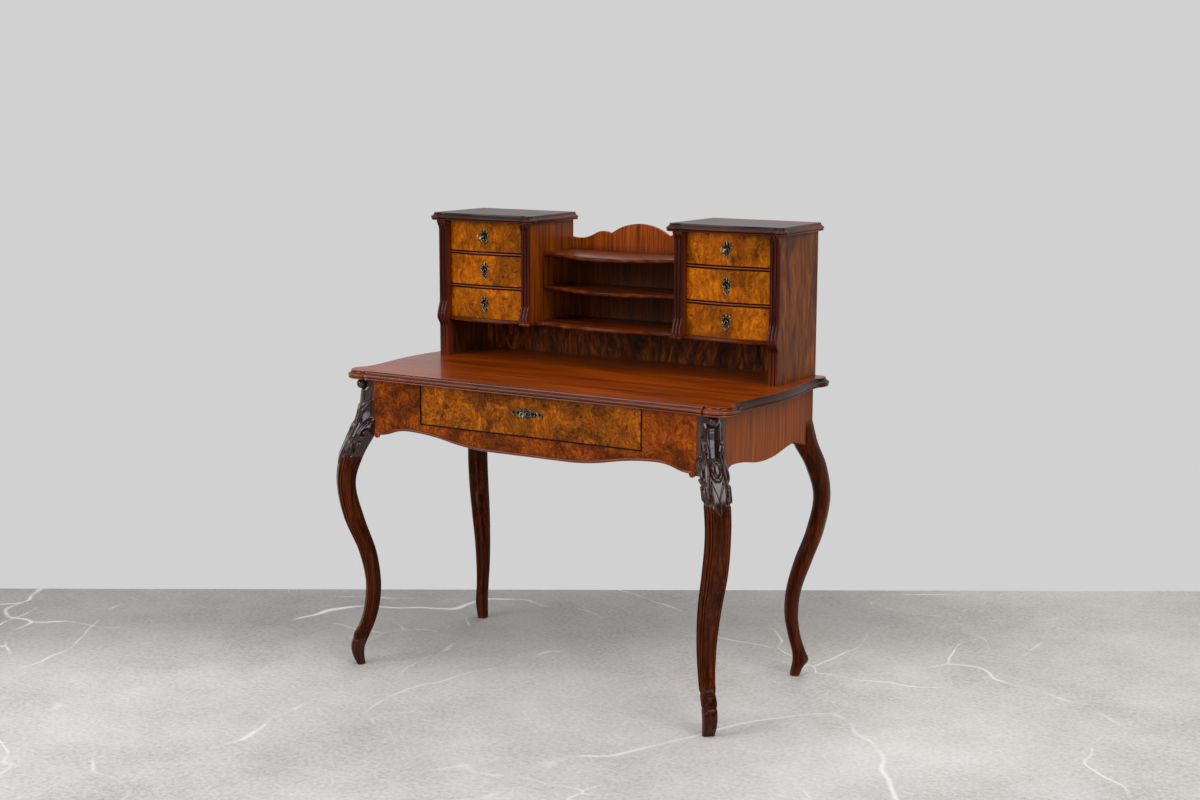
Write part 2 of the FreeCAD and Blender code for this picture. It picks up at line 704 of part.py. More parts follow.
def make_gallery():
    outer_inside = cabinet_outer - side_thickness
    inner_inside = cabinet_inner + side_thickness
    back_y = top_back
    thickness = back_board_thickness

    z = mid_board_top - mid_board_thickness
    middle_board = prism(middle_board_outline(z), (0, 0, mid_board_thickness))
    pieces["mid_board"] = middle_board
    rail_bottoms = [mid_board_top + opening_height,
                    mid_board_top + 2 * opening_height + rail_thickness]
    rails = [rail_board(bottom) for bottom in rail_bottoms]
    guides = []
    for floor in [mid_board_top] + [bottom + rail_thickness for bottom in rail_bottoms]:
        y0, y1 = gallery_front + lip_depth, back_board_front
        guides.append(box(inner_inside, drawer_left, y0, y1, floor, floor + guide_height))
        guides.append(box(drawer_right, outer_inside, y0, y1, floor, floor + guide_height))
    pieces["drawer_rails_right"] = Part.Compound(rails + guides)
    pieces["drawer_rails_left"] = Part.Compound([mirrored(s) for s in rails + guides])

    upper = shelf(upper_shelf_share, upper_shelf_bow)
    lower = shelf(lower_shelf_share, lower_shelf_bow)
    pieces["shelf_upper"] = upper
    pieces["shelf_lower"] = lower
    gallery_board = prism(gallery_outline(), (0, thickness, 0))
    pieces["gallery_board"] = gallery_board

    low_back = box(-outer_inside - back_rebate, outer_inside + back_rebate, back_board_front,
                   back_board_front + thickness, desk_height, mid_board_top)
    cabinet_back = box(inner_inside - back_rebate, outer_inside + back_rebate, back_board_front,
                       back_board_front + thickness, mid_board_top, cornice_bottom)
    pieces["back_panel"] = low_back
    pieces["cabinet_backs"] = Part.Compound([cabinet_back, mirrored(cabinet_back)])

    # the sides carry a thicker lip behind the stiles, housings for the boards and back rebates
    outer = box(outer_inside, cabinet_outer, gallery_front, back_y, desk_height, cornice_bottom)
    outer = outer.fuse(box(drawer_right, outer_inside, gallery_front, gallery_front + lip_depth,
                           desk_height, cornice_bottom)).removeSplitter()
    for seat in [middle_board, low_back, cabinet_back] + rails:
        outer = outer.cut(seat)
    inner = box(cabinet_inner, inner_inside, gallery_front, back_y, mid_board_top, cornice_bottom)
    inner = inner.fuse(box(inner_inside, drawer_left, gallery_front, gallery_front + lip_depth,
                           mid_board_top, cornice_bottom)).removeSplitter()
    for seat in [cabinet_back, gallery_board, upper, lower] + rails:
        inner = inner.cut(seat)
    pieces["side_outer_right"] = outer
    pieces["side_outer_left"] = mirrored(outer)
    pieces["side_inner_right"] = inner
    pieces["side_inner_left"] = mirrored(inner)

    outer_stile = make_stile(drawer_right, desk_height)
    inner_stile = make_stile(cabinet_inner, mid_board_top)
    pieces["stile_outer_right"] = outer_stile
    pieces["stile_outer_left"] = mirrored(outer_stile)
    pieces["stile_inner_right"] = inner_stile
    pieces["stile_inner_left"] = mirrored(inner_stile)


# ---------------------------------------------------------------- drawers

def tail(x0, x1, y_shoulder, y_end, z0, z1, flare):
    """One dovetail: wider at its end than at its shoulder."""
    return polygon([(x0, y_shoulder, z0 + flare), (x0, y_end, z0), (x0, y_end, z1),
                    (x0, y_shoulder, z1 - flare)], (x1 - x0, 0, 0))


def tails(x0, x1, y_shoulder, y_end, z0, z1, count):
    pitch = (z1 - z0) / count
    pin = pitch * pin_share
    flare = abs(y_end - y_shoulder) * dovetail_slope
    return [tail(x0, x1, y_shoulder, y_end, z0 + i * pitch + pin / 2.0,
                 z0 + (i + 1) * pitch - pin / 2.0, flare) for i in range(count)]


def drawer_box(left, right, front_y, back_y, floor, height, side, bottom, lap, tail_count):
    """Sides dovetailed into the front (lapped) and the back (through), and a bottom in grooves.
    Returns the sides, back and bottom, and what they cut away from the drawer front."""
    panel_floor = floor + bottom * 1.5
    panel = box(left + side / 2.0, right - side / 2.0, front_y - lap / 2.0, back_y,
                panel_floor, panel_floor + bottom)
    back_floor = panel_floor + bottom
    top = floor + height
    back = box(left, right, back_y - side, back_y, back_floor, top)
    sides = []
    sockets = []
    for x0 in (left, right - side):
        x1 = x0 + side
        front_tails = tails(x0, x1, front_y, front_y - lap, back_floor, top, tail_count)
        back_tails = tails(x0, x1, back_y - side, back_y, back_floor, top, tail_count)
        board = box(x0, x1, front_y, back_y - side, floor, top)
        heel = box(x0, x1, back_y - side, back_y, floor, back_floor)
        board = board.multiFuse(front_tails + back_tails + [heel]).removeSplitter()
        sides.append(board.cut(panel))
        sockets += front_tails
        for piece in back_tails:
            back = back.cut(piece)
    return sides, back, panel, sockets + [panel]


def keyhole(x, y0, y1, z):
    """A round eye with a slot below it for the bit."""
    eye = polygon([(x + across, y0, z + up)
                   for across, up in ring_points(keyhole_radius, keyhole_sides)], (0, y1 - y0, 0))
    half = key_bit_thickness / 2.0 + keyhole_slack
    return eye.fuse(box(x - half, x + half, y0, y1, z - key_bit - key_bit_gap, z))


def bolt_mortise(x, y_back, z):
    """The slot in the board above a lock that its bolt shoots into."""
    y = y_back - lock_depth / 2.0
    half_width = bolt_width / 2.0 + mortise_gap
    half_thickness = bolt_thickness / 2.0 + mortise_gap
    return box(x - half_width, x + half_width, y - half_thickness, y + half_thickness,
               z, z + bolt_throw + mortise_spare)


def make_lock(x, y_back, key_z, top_z, has_key):
    """Lock case let in flush behind the drawer front, with its bolt; the key turns below it."""
    y0 = y_back - lock_depth
    case_outline = box(x - lock_width / 2, x + lock_width / 2, y0, y_back, key_z - lock_drop, top_z)
    y = y_back - lock_depth / 2.0
    half = bolt_thickness / 2.0
    bolt = box(x - bolt_width / 2, x + bolt_width / 2, y - half, y + half,
               key_z + key_bit + bolt_gap, top_z - bolt_gap)
    channel = box(x - bolt_width / 2 - bolt_gap, x + bolt_width / 2 + bolt_gap,
                  y - half - bolt_gap, y + half + bolt_gap, key_z, top_z)
    reach = key_bit + key_bit_gap
    swing = box(x - reach, x + reach, y - half - bolt_gap, y + half + bolt_gap,
                key_z - reach, key_z + reach)
    entry = box(x - keyhole_radius, x + keyhole_radius, y0, y, key_z - reach, key_z + reach)
    case = case_outline.cut(channel).cut(swing).cut(entry)
    if has_key:
        pivot = Part.makeCylinder(key_shaft + key_fit, lock_depth, V(x, y, key_z), V(0, 1, 0))
        case = case.cut(pivot)
    return case_outline, case, bolt


def make_key(x, face_y, y_back, key_z):
    """Shaft, bit and a ring bow that stands upright."""
    y = y_back - lock_depth / 2.0
    ring_y = face_y - key_stand_off
    start = ring_y + key_ring
    shaft = Part.makeCylinder(key_shaft, y_back - key_short - start, V(x, start, key_z),
                              V(0, 1, 0))
    half = bolt_thickness / 2.0
    bit = box(x - key_bit_thickness / 2, x + key_bit_thickness / 2, y - half, y + half,
              key_z - key_bit, key_z)
    outer, inner = [polygon([(x - key_wire, ring_y + deep, key_z + up)
                             for deep, up in ring_points(radius, ring_sides)],
                            (2 * key_wire, 0, 0))
                    for radius in (key_ring + key_wire, key_ring - key_wire)]
    return shaft.fuse(bit).fuse(outer.cut(inner)).removeSplitter()


def escutcheon(half, x, face_y, z):
    """A plate on the face of a drawer, the same on both sides of its keyhole."""
    y = face_y - plate_thickness
    outline = half + [(-across, up) for across, up in reversed(half[1:-1])]
    plate = polygon([(x + across, y, z + up) for across, up in outline], (0, plate_thickness, 0))
    return plate.cut(keyhole(x, y, face_y, z))


def make_small_drawer(name, floor, has_key):
    """Built on the right-hand cabinet; a name that ends in left is mirrored over."""
    left = drawer_left + drawer_gap
    right = drawer_right - drawer_gap
    bottom = floor + drawer_floor_gap
    top = floor + opening_height - drawer_top_gap
    edge = small_face_edge
    centre_face = edge - small_bow
    front = prism([arc((left, edge, bottom), (drawer_middle, centre_face, bottom),
                       (right, edge, bottom)),
                   line((right, edge, bottom), (right, small_front_back, bottom)),
                   line((right, small_front_back, bottom), (left, small_front_back, bottom)),
                   line((left, small_front_back, bottom), (left, edge, bottom))],
                  (0, 0, top - bottom))
    sides, back, panel, sockets = drawer_box(left, right, small_front_back, small_box_back, bottom,
                                             opening_height - small_box_relief, small_side,
                                             small_bottom, small_lap, 2)
    key_z = floor + opening_height / 2.0
    case_outline, case, bolt = make_lock(drawer_middle, small_front_back, key_z, top, has_key)
    for cutter in sockets + [case_outline]:
        front = front.cut(cutter)
    front = front.cut(keyhole(drawer_middle, centre_face - 1, small_front_back, key_z))
    plate = escutcheon(small_plate, drawer_middle, centre_face, key_z)
    flip = mirrored if name.endswith("left") else (lambda shape: shape)
    pieces[name + "_front"] = flip(front)
    pieces[name + "_box"] = Part.Compound([flip(s) for s in sides + [back, panel]])
    if has_key:
        key = make_key(drawer_middle, centre_face - plate_thickness, small_front_back, key_z)
        pieces[name + "_lock"] = Part.Compound([flip(case), flip(plate)])
        pieces[name + "_bolt"] = flip(bolt)
        pieces[name + "_key"] = flip(key)
    else:
        pieces[name + "_lock"] = Part.Compound([flip(case), flip(plate), flip(bolt)])


def make_desk_drawer():
    half = desk_drawer_half_width - drawer_gap
    bottom = desk_drawer_floor + drawer_floor_gap
    top = top_underside - desk_drawer_top_gap
    face = desk_drawer_face + cockbead_proud
    back_y = desk_front_back
    rebate = desk_drawer_face + cockbead_depth
    front = box(-half + cockbead, half - cockbead, face, rebate, bottom + cockbead, top)
    front = front.fuse(box(-half, half, rebate, back_y, bottom, top)).removeSplitter()
    bead = box(-half, half, desk_drawer_face, rebate, bottom, top)
    bead = bead.cut(box(-half + cockbead, half - cockbead, desk_drawer_face, rebate,
                        bottom + cockbead, top))
    sides, back, panel, sockets = drawer_box(-half, half, back_y, desk_box_back, bottom,
                                             desk_box_height, desk_side, desk_bottom, desk_lap, 3)
    key_z = (desk_drawer_floor + top_underside) / 2.0 + desk_key_rise
    case_outline, case, bolt = make_lock(0.0, back_y, key_z, top, True)
    for cutter in sockets + [case_outline]:
        front = front.cut(cutter)
    front = front.cut(keyhole(0.0, face - 1, back_y, key_z))
    plate = escutcheon(desk_plate, 0.0, face, key_z)
    pieces["desk_drawer_front"] = front
    pieces["desk_drawer_cockbead"] = bead
    pieces["desk_drawer_box"] = Part.Compound(sides + [back, panel])
    pieces["desk_drawer_lock"] = Part.Compound([case, plate])
    pieces["desk_drawer_bolt"] = bolt
    pieces["desk_drawer_key"] = make_key(0.0, face - plate_thickness, back_y, key_z)


make_legs_and_aprons()
make_desk_top()
make_runners()
make_gallery()
make_cabinet_tops()
make_desk_drawer()
for level, row in enumerate(("lower", "middle", "upper")):
    row_floor = mid_board_top + level * (opening_height + rail_thickness)
    for hand in ("left", "right"):
        make_small_drawer("drawer_" + row + "_" + hand, row_floor, row == "upper")

# the origin lies under the middle of the desk, between its foremost and its hindmost points
foremost = pieces["leg_front_right"].optimalBoundingBox(False, False).YMin
hindmost = pieces["leg_back_right"].optimalBoundingBox(False, False).YMax
centring = V(0, -(foremost + hindmost) / 2.0, 0)
print("moved back by", round(centring.y, 2))

os.makedirs("parts", exist_ok=True)
for node, shape in pieces.items():
    shape.translate(centring)
    for solid in shape.Solids:
        assert solid.isValid(), node
    shape.exportStep("parts/" + node + ".step")
    print(node, len(shape.Solids), round(shape.Volume / 1000.0, 1), "cm3")
print(len(pieces), "nodes")
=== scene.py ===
import json
import math
import bpy
import bmesh
from mathutils import Matrix, Vector

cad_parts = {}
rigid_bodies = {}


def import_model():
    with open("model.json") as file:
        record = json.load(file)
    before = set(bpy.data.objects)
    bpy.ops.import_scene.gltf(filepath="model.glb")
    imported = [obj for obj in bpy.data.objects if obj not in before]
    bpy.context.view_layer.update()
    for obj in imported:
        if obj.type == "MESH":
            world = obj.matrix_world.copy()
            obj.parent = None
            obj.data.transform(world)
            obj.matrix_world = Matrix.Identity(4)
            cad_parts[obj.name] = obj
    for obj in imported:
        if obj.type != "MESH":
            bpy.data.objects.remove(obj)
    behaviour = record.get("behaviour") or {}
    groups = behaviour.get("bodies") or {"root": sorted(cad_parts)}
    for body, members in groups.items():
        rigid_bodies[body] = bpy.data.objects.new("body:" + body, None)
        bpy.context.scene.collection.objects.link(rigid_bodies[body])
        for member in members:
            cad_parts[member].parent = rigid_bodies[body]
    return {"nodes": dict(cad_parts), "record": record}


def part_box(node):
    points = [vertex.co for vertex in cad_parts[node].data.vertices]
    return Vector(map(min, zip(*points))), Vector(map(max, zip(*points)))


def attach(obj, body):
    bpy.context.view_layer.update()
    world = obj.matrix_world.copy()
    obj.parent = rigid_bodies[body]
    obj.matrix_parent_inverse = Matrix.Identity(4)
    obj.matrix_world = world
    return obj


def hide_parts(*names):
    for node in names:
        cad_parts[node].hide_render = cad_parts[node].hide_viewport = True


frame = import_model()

scene = bpy.context.scene
record = frame["record"]
perMetre = 1000  # shapes are worked out in millimetres and stored in metres
mergeWithin = {"solid": 0.005, "turned": 0.001}  # millimetres
flatWithin = math.radians(0.8)
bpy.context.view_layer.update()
print("frame loaded,", len(frame["nodes"]), "nodes")


# lines and points

def low(node):  # lowest corner of a solid, in millimetres
    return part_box(node)[0] * perMetre


def high(node):
    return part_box(node)[1] * perMetre


def circle(steps):  # angles at equal steps, all the way round
    return [2 * math.pi * k / steps for k in range(steps)]


def blendAt(points, x):  # straight-line value between (x, value) pairs
    if x <= points[0][0]:
        return points[0][1]
    for (xa, a), (xb, b) in zip(points, points[1:]):
        if x <= xb:
            return a + (b - a) * (x - xa) / (xb - xa)
    return points[-1][1]


def arcPoints(a, b, c, steps):  # points on the circle from a through b to c, without the last
    (ax, ay), (bx, by), (cx, cy) = a, b, c
    d = 2 * (ax * (by - cy) + bx * (cy - ay) + cx * (ay - by))
    aa, bb, cc = ax * ax + ay * ay, bx * bx + by * by, cx * cx + cy * cy
    ux = (aa * (by - cy) + bb * (cy - ay) + cc * (ay - by)) / d
    uy = (aa * (cx - bx) + bb * (ax - cx) + cc * (bx - ax)) / d
    start, middle, end = [math.atan2(y - uy, x - ux) for x, y in (a, b, c)]
    radius = math.hypot(ax - ux, ay - uy)
    sweep = (end - start) % (2 * math.pi)
    if (middle - start) % (2 * math.pi) > sweep:
        sweep -= 2 * math.pi
    angles = [start + sweep * i / steps for i in range(steps)]
    return [(ux + radius * math.cos(a), uy + radius * math.sin(a)) for a in angles]


def ogeePoints(a, b, along, steps):  # two equal arcs that leave and arrive in one direction, without the last point
    start, end, along = Vector(a), Vector(b), Vector(along)
    half = (end - start) * 0.5
    run = half.dot(along)
    across = half - along * run
    rise = max(across.length, 1e-6)
    radius = (run ** 2 + rise ** 2) / (2 * rise)
    angle = math.asin(min(1.0, run / radius)) / 2
    offset = along * (radius * math.sin(angle)) + across * (radius * (1 - math.cos(angle)) / rise)
    middle = start + half
    return (arcPoints(start[:], (start + offset)[:], middle[:], steps)
            + arcPoints(middle[:], (end - offset)[:], end[:], steps))


def swellPoints(a, b, c, along, steps):
    return ogeePoints(a, b, along, steps) + ogeePoints(b, c, along, steps)


def setIn(outline, inset):  # the plan moved inwards, corner by corner; each corner has a weight of its own
    moved = []
    for i, (x, y) in enumerate(outline):
        (px, py), (nx, ny) = outline[i - 1], outline[(i + 1) % len(outline)]
        a = Vector((x - px, y - py)).normalized()
        b = Vector((nx - x, ny - y)).normalized()
        normal = (a + b).normalized()
        scale = 1 / max(0.5, normal.dot(a))
        moved.append((x - normal.y * inset * scale, y + normal.x * inset * scale))
    return moved


# shapes

def layUp(outlines, joined=False):  # a skin through rings that have the same number of corners
    bm = bmesh.new()
    ring = [bm.verts.new(Vector(point)) for point in outlines[0]]
    edges = firstEdges = [bm.edges.new((a, b)) for a, b in zip(ring, ring[1:] + ring[:1])]
    for outline in outlines[1:]:
        made = bmesh.ops.extrude_edge_only(bm, edges=edges)["geom"]
        fresh = set(g for g in made if isinstance(g, bmesh.types.BMVert))
        ring = [next(e.other_vert(v) for e in v.link_edges if e.other_vert(v) in fresh) for v in ring]
        edges = [g for g in made if isinstance(g, bmesh.types.BMEdge) and fresh.issuperset(g.verts)]
        for vert, point in zip(ring, outline):
            vert.co = Vector(point)
    if joined:
        bmesh.ops.bridge_loops(bm, edges=firstEdges + edges)
    else:
        for loop in (firstEdges, edges):
            bmesh.ops.contextual_create(bm, geom=loop)
    bmesh.ops.recalc_face_normals(bm, faces=bm.faces)
    return bm


def board(outline, z0, z1, edge=None):  # a board of that plan; edge is [(set-in, height share)] for its rounded edge
    if not edge:
        return layUp([[(x, y, z) for x, y in outline] for z in (z0, z1)])
    return layUp([[(x, y, z0 + (z1 - z0) * share) for x, y in setIn(outline, inset)] for inset, share in edge])


def lathe(line, axis, steps, place):  # a line turned round an axis through the origin, then moved to its place
    bm = bmesh.new()
    verts = [bm.verts.new(point) for point in line]
    edges = [bm.edges.new(pair) for pair in zip(verts, verts[1:])]
    bmesh.ops.spin(bm, geom=verts + edges, axis=axis, angle=2 * math.pi, steps=steps, use_merge=True)
    bmesh.ops.remove_doubles(bm, verts=bm.verts, dist=mergeWithin["turned"])
    bmesh.ops.holes_fill(bm, edges=bm.edges, sides=30)
    bmesh.ops.recalc_face_normals(bm, faces=bm.faces)
    bmesh.ops.translate(bm, vec=place, verts=bm.verts)
    return bm


def flipped(bm):  # the same shape on the other side of the desk
    other = bm.copy()
    bmesh.ops.scale(other, vec=(-1, 1, 1), verts=other.verts)
    bmesh.ops.reverse_faces(other, faces=other.faces)
    return other


def together(*shapes):  # several shapes in one
    whole = bmesh.new()
    for shape in shapes:
        mesh = bpy.data.meshes.new("part")
        shape.to_mesh(mesh)
        shape.free()
        whole.from_mesh(mesh)
        bpy.data.meshes.remove(mesh)
    return whole


def tinted(bm, number):  # which of its piece's finishes this shape takes
    for face in bm.faces:
        face.material_index = number
    return bm


# pieces

def bodyOf(node):
    return next(body for body, members in record["behaviour"]["bodies"].items() if node in members)


def slotOf(node):
    return next(part["material_slot"] for part in record["subparts"] if part["node"] == node)


def newPiece(name, bm, finishes, nodes, smooth=35, soften=0.0):
    # finishes are named in the order of the faces' numbers; soften rounds the arrises by that many millimetres
    bmesh.ops.scale(bm, vec=[1 / perMetre] * 3, verts=bm.verts)
    mesh = bpy.data.meshes.new(name)
    bm.to_mesh(mesh)
    bm.free()
    piece = bpy.data.objects.new(name, mesh)
    scene.collection.objects.link(piece)
    for finish in finishes.split():
        mesh.materials.append(bpy.data.materials[finish])
    mesh.shade_smooth()
    mesh.set_sharp_from_angle(angle=math.radians(smooth))
    if soften:
        bevel = piece.modifiers.new("worn arris", "BEVEL")
        bevel.width, bevel.segments = soften / perMetre, 2
        bevel.limit_method, bevel.angle_limit = "ANGLE", math.radians(smooth)
        bevel.harden_normals = bevel.use_clamp_overlap = True
    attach(piece, bodyOf(nodes[0]))
    slotOf(nodes[0])
    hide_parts(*nodes)
    return piece


def newPair(name, bm, finishes, node, smooth=35, soften=0.0):  # a * in the names stands for the side
    return [newPiece(name.replace("*", side), shape, finishes, [node.replace("*", side)], smooth, soften)
            for side, shape in (("left", flipped(bm)), ("right", bm))]


def chooseFinish(piece, pick):  # pick gives the number of a face's finish
    for face in piece.data.polygons:
        face.material_index = pick(face)


def nodeShape(node, keep=None):  # a merged copy of a solid in millimetres; keep chooses its shells by their middle
    bm = bmesh.new()
    bm.from_mesh(frame["nodes"][node].data)
    bmesh.ops.scale(bm, vec=[perMetre] * 3, verts=bm.verts)
    bmesh.ops.remove_doubles(bm, verts=bm.verts, dist=mergeWithin["solid"])
    waiting = set(bm.verts) if keep else set()
    while waiting:
        shell, front = set(), [waiting.pop()]
        while front:
            vert = front.pop()
            shell.add(vert)
            fresh = waiting.intersection(edge.other_vert(vert) for edge in vert.link_edges)
            waiting -= fresh
            front.extend(fresh)
        if not keep(sum((v.co for v in shell), Vector()) / len(shell)):
            bmesh.ops.delete(bm, geom=list(shell), context="VERTS")
    bmesh.ops.dissolve_limit(bm, angle_limit=flatWithin, verts=bm.verts, edges=bm.edges)
    return bm


def softenNode(node, finishes, width):  # the solid as it is, with worn arrises
    return newPiece(node + "_wood", nodeShape(node), finishes, [node], 30, width)


# nodes for the finishes

def linear(value):  # "#rrggbb" or a grey level, to the linear colour that a shader wants
    if not isinstance(value, str):
        return [value, value, value, 1.0]
    parts = [int(value[i:i + 2], 16) / 255 for i in (1, 3, 5)]
    return [c / 12.92 if c <= 0.04045 else ((c + 0.055) / 1.055) ** 2.4 for c in parts] + [1.0]


def addNode(tree, kind, settings={}, links={}):  # settings and what feeds it; a node stands for its first output
    node = tree.nodes.new("ShaderNode" + kind)
    for name, value in settings.items():
        if isinstance(name, str) and hasattr(node, name):
            setattr(node, name, value)
        else:
            node.inputs[name].default_value = value
    for name, source in links.items():
        tree.links.new(getattr(source, "outputs", [source])[0], node.inputs[name])
    return node


def noiseOf(tree, place, scale, detail, rough=0.5, twist=0.0):
    values = {"Scale": scale, "Detail": detail, "Roughness": rough, "Distortion": twist}
    return addNode(tree, "TexNoise", values, {"Vector": place})


def rampOf(tree, source, *stops):  # colour ramp: positions and colours
    node = addNode(tree, "ValToRGB", {}, {"Fac": source})
    for i, (position, colour) in enumerate(stops):
        stop = node.color_ramp.elements[i] if i < 2 else node.color_ramp.elements.new(position)
        stop.position, stop.color = position, linear(colour)
    return node


def rangeOf(tree, source, start, end, first=0.0, last=1.0, kind="LINEAR"):  # start to end becomes first to last
    values = {"interpolation_type": kind, "From Min": start, "From Max": end, "To Min": first, "To Max": last}
    return addNode(tree, "MapRange", values, {"Value": source})


def alongOf(tree, place, way):  # how far a place lies that way
    return addNode(tree, "VectorMath", {"operation": "DOT_PRODUCT", 1: way}, {0: place}).outputs["Value"]


def bentBy(tree, place, noise, reach):  # the place pushed about by a noise
    values = {"operation": "MULTIPLY_ADD", 1: reach}
    return addNode(tree, "VectorMath", values, {0: noise.outputs["Color"], 2: place})


def darkened(tree, colour, shade):
    values = {"data_type": "RGBA", "blend_type": "MULTIPLY", 0: 1.0}
    return addNode(tree, "Mix", values, {6: colour, 7: shade}).outputs[2]


def painted(tree, colour, paint, share):  # another colour laid over it
    return addNode(tree, "Mix", {"data_type": "RGBA", 7: linear(paint)}, {0: share, 6: colour}).outputs[2]


def newMaterial(name):  # its node tree and the object's coordinates
    material = bpy.data.materials.new(name)
    material.use_nodes = True
    return material.node_tree, addNode(material.node_tree, "TexCoord").outputs["Object"]


def setShader(tree, sources, values):
    shader = tree.nodes["Principled BSDF"]
    for name, source in sources.items():
        tree.links.new(getattr(source, "outputs", [source])[0], shader.inputs[name])
    for name, value in values.items():
        shader.inputs[name].default_value = value


def reliefOf(tree, height, strength, distance):  # distance in metres
    return addNode(tree, "Bump", {"Strength": strength, "Distance": distance}, {"Height": height})


# studio: pale floor and backdrop, soft lamps, the camera

studio = {
    "wall": "#d1d1d1", "floor": "#bdbab8", "floorLight": "#cfcdcb", "floorDark": "#a3a09d", "sky": "#fbfaf8",
    "cameraPlace": (2.44599, -3.86832, 1.47655), "yaw": 31.7376, "pitch": 9.5942, "roll": 0.1267,
    "lens": 55.376, "sensor": 36, "clip": (0.05, 60),
    "floorFar": 5.336, "floorWide": 9.0, "floorNear": -4.0,  # metres ahead of the camera, and half width
    "skyLight": 0.45, "roomLight": 0.03,
    "scratch": "#efedeb",  # where furniture was dragged: size of the net, width and share left bare
    "scratches": [(0.8, 0.0045, 0.48), (1.3, 0.006, 0.53), (2.1, 0.008, 0.57)],
    # painted shade and light on the floor: the far part darker, most of all on the left, the near part a little
    # lighter: metres ahead of the camera and to its right
    "floorShadeAhead": (4.42, 5.05), "floorShadeRight": (0.6, 1.3), "floorShadeDeepest": 0.62, "floorNearLight": 1.08,
}
yaw, pitch, roll = [math.radians(studio[name]) for name in ("yaw", "pitch", "roll")]
onward, sideways = Vector((-math.sin(yaw), math.cos(yaw), 0)), Vector((math.cos(yaw), math.sin(yaw), 0))


def makeCamera():
    ahead = onward * math.cos(pitch) + Vector((0, 0, -math.sin(pitch)))
    up = sideways.cross(ahead)
    across = sideways * math.cos(roll) + up * math.sin(roll)
    up = up * math.cos(roll) - sideways * math.sin(roll)
    camera = bpy.data.objects.new("camera", bpy.data.cameras.new("camera"))
    camera.data.lens, camera.data.sensor_width = studio["lens"], studio["sensor"]
    camera.data.clip_start, camera.data.clip_end = studio["clip"]
    camera.matrix_world = Matrix.Translation(studio["cameraPlace"]) @ Matrix((across, up, -ahead)).transposed().to_4x4()
    scene.collection.objects.link(camera)
    scene.camera = camera
    scene.view_settings.view_transform = "Standard"


def makeFloor():  # it ends in a straight line behind the desk, where the backdrop starts
    x, y = studio["cameraPlace"][:2]
    near, far = studio["floorNear"], studio["floorFar"]
    place = (Matrix.Translation((x, y, 0)) @ Matrix.Rotation(yaw, 4, "Z") @ Matrix.Translation((0, (near + far) / 2, 0))
             @ Matrix.Diagonal((studio["floorWide"], (far - near) / 2, 1, 1)))
    bm = bmesh.new()
    bmesh.ops.create_grid(bm, x_segments=1, y_segments=1, size=1, matrix=place)
    mesh = bpy.data.meshes.new("floor")
    bm.to_mesh(mesh)
    bm.free()
    floor = bpy.data.objects.new("floor", mesh)
    scene.collection.objects.link(floor)

    # trowelled screed: pale grey, cloudy, gritty and scratched
    tree, place = newMaterial("polishedConcrete")
    cloud = noiseOf(tree, place, 1.6, 10.0, 0.72)
    grit = noiseOf(tree, place, 90.0, 3.0, 0.7)  # 11 mm, real grit is finer
    both = addNode(tree, "Mix", {"data_type": "FLOAT", 0: 0.45}, {2: cloud, 3: grit})
    colour = rampOf(tree, both, (0.36, studio["floorDark"]), (0.62, studio["floorLight"]), (0.48, studio["floor"]))
    stand = Vector((x, y, 0))
    # painted shade: the floor darkened far off and to the left, lightened a little near the camera
    starts = [stand.dot(onward) + distance for distance in studio["floorShadeAhead"]]
    sides = [stand.dot(sideways) + distance for distance in studio["floorShadeRight"]]
    shadeAcross = rangeOf(tree, alongOf(tree, place, sideways), *sides, studio["floorShadeDeepest"], 1.0, "SMOOTHSTEP")
    shadeAlong = rangeOf(tree, alongOf(tree, place, onward), *starts, studio["floorNearLight"], 1.0, "SMOOTHSTEP")
    tree.links.new(shadeAcross.outputs[0], shadeAlong.inputs["To Max"])
    colour = darkened(tree, colour, shadeAlong)
    for seed, (size, width, bare) in enumerate(studio["scratches"]):
        moved = addNode(tree, "Mapping", {"Location": (seed * 3.1, seed * 1.7, 0)}, {"Vector": place})
        bent = bentBy(tree, moved, noiseOf(tree, moved, 1.1, 3.0), (0.9, 0.9, 0))
        cells = addNode(tree, "TexVoronoi", {"feature": "DISTANCE_TO_EDGE", "Scale": size}, {"Vector": bent})
        here = rangeOf(tree, noiseOf(tree, moved, 1.3, 4.0, 0.75), bare, bare + 0.09, 0.0, 0.8)
        mark = addNode(tree, "Math", {"operation": "MULTIPLY"}, {0: rangeOf(tree, cells, width, 0.0), 1: here})
        colour = painted(tree, colour, studio["scratch"], mark)
    setShader(tree, {"Base Color": colour}, {"Roughness": 0.75, "Specular IOR Level": 0.2})
    mesh.materials.append(bpy.data.materials["polishedConcrete"])


def makeBackdrop():  # the room on the camera's side is dim, and so is what gloss shows of it
    world = bpy.data.worlds.new("studio")
    world.use_nodes = True
    scene.world = world
    tree = world.node_tree
    wall, sky = linear(studio["wall"]), tree.nodes["Background"]
    sky.inputs["Color"].default_value, sky.inputs["Strength"].default_value = linear(studio["sky"]), studio["skyLight"]
    rays = addNode(tree, "LightPath").outputs
    facing = alongOf(tree, addNode(tree, "TexCoord").outputs["Generated"], onward)
    share = rangeOf(tree, facing, -0.15, 0.35, studio["roomLight"])
    backdrop = addNode(tree, "Background", {"Color": wall, "Strength": 1.0})
    mirrored = addNode(tree, "Background", {"Color": wall}, {"Strength": share})
    gloss = addNode(tree, "MixShader", {}, {0: rays["Is Glossy Ray"], 1: sky, 2: mirrored})
    seen = addNode(tree, "Math", {"operation": "MAXIMUM"}, {0: rays["Is Camera Ray"], 1: rays["Is Transmission Ray"]})
    mix = addNode(tree, "MixShader", {}, {0: seen, 1: gloss, 2: backdrop})
    tree.links.new(mix.outputs[0], tree.nodes["World Output"].inputs["Surface"])


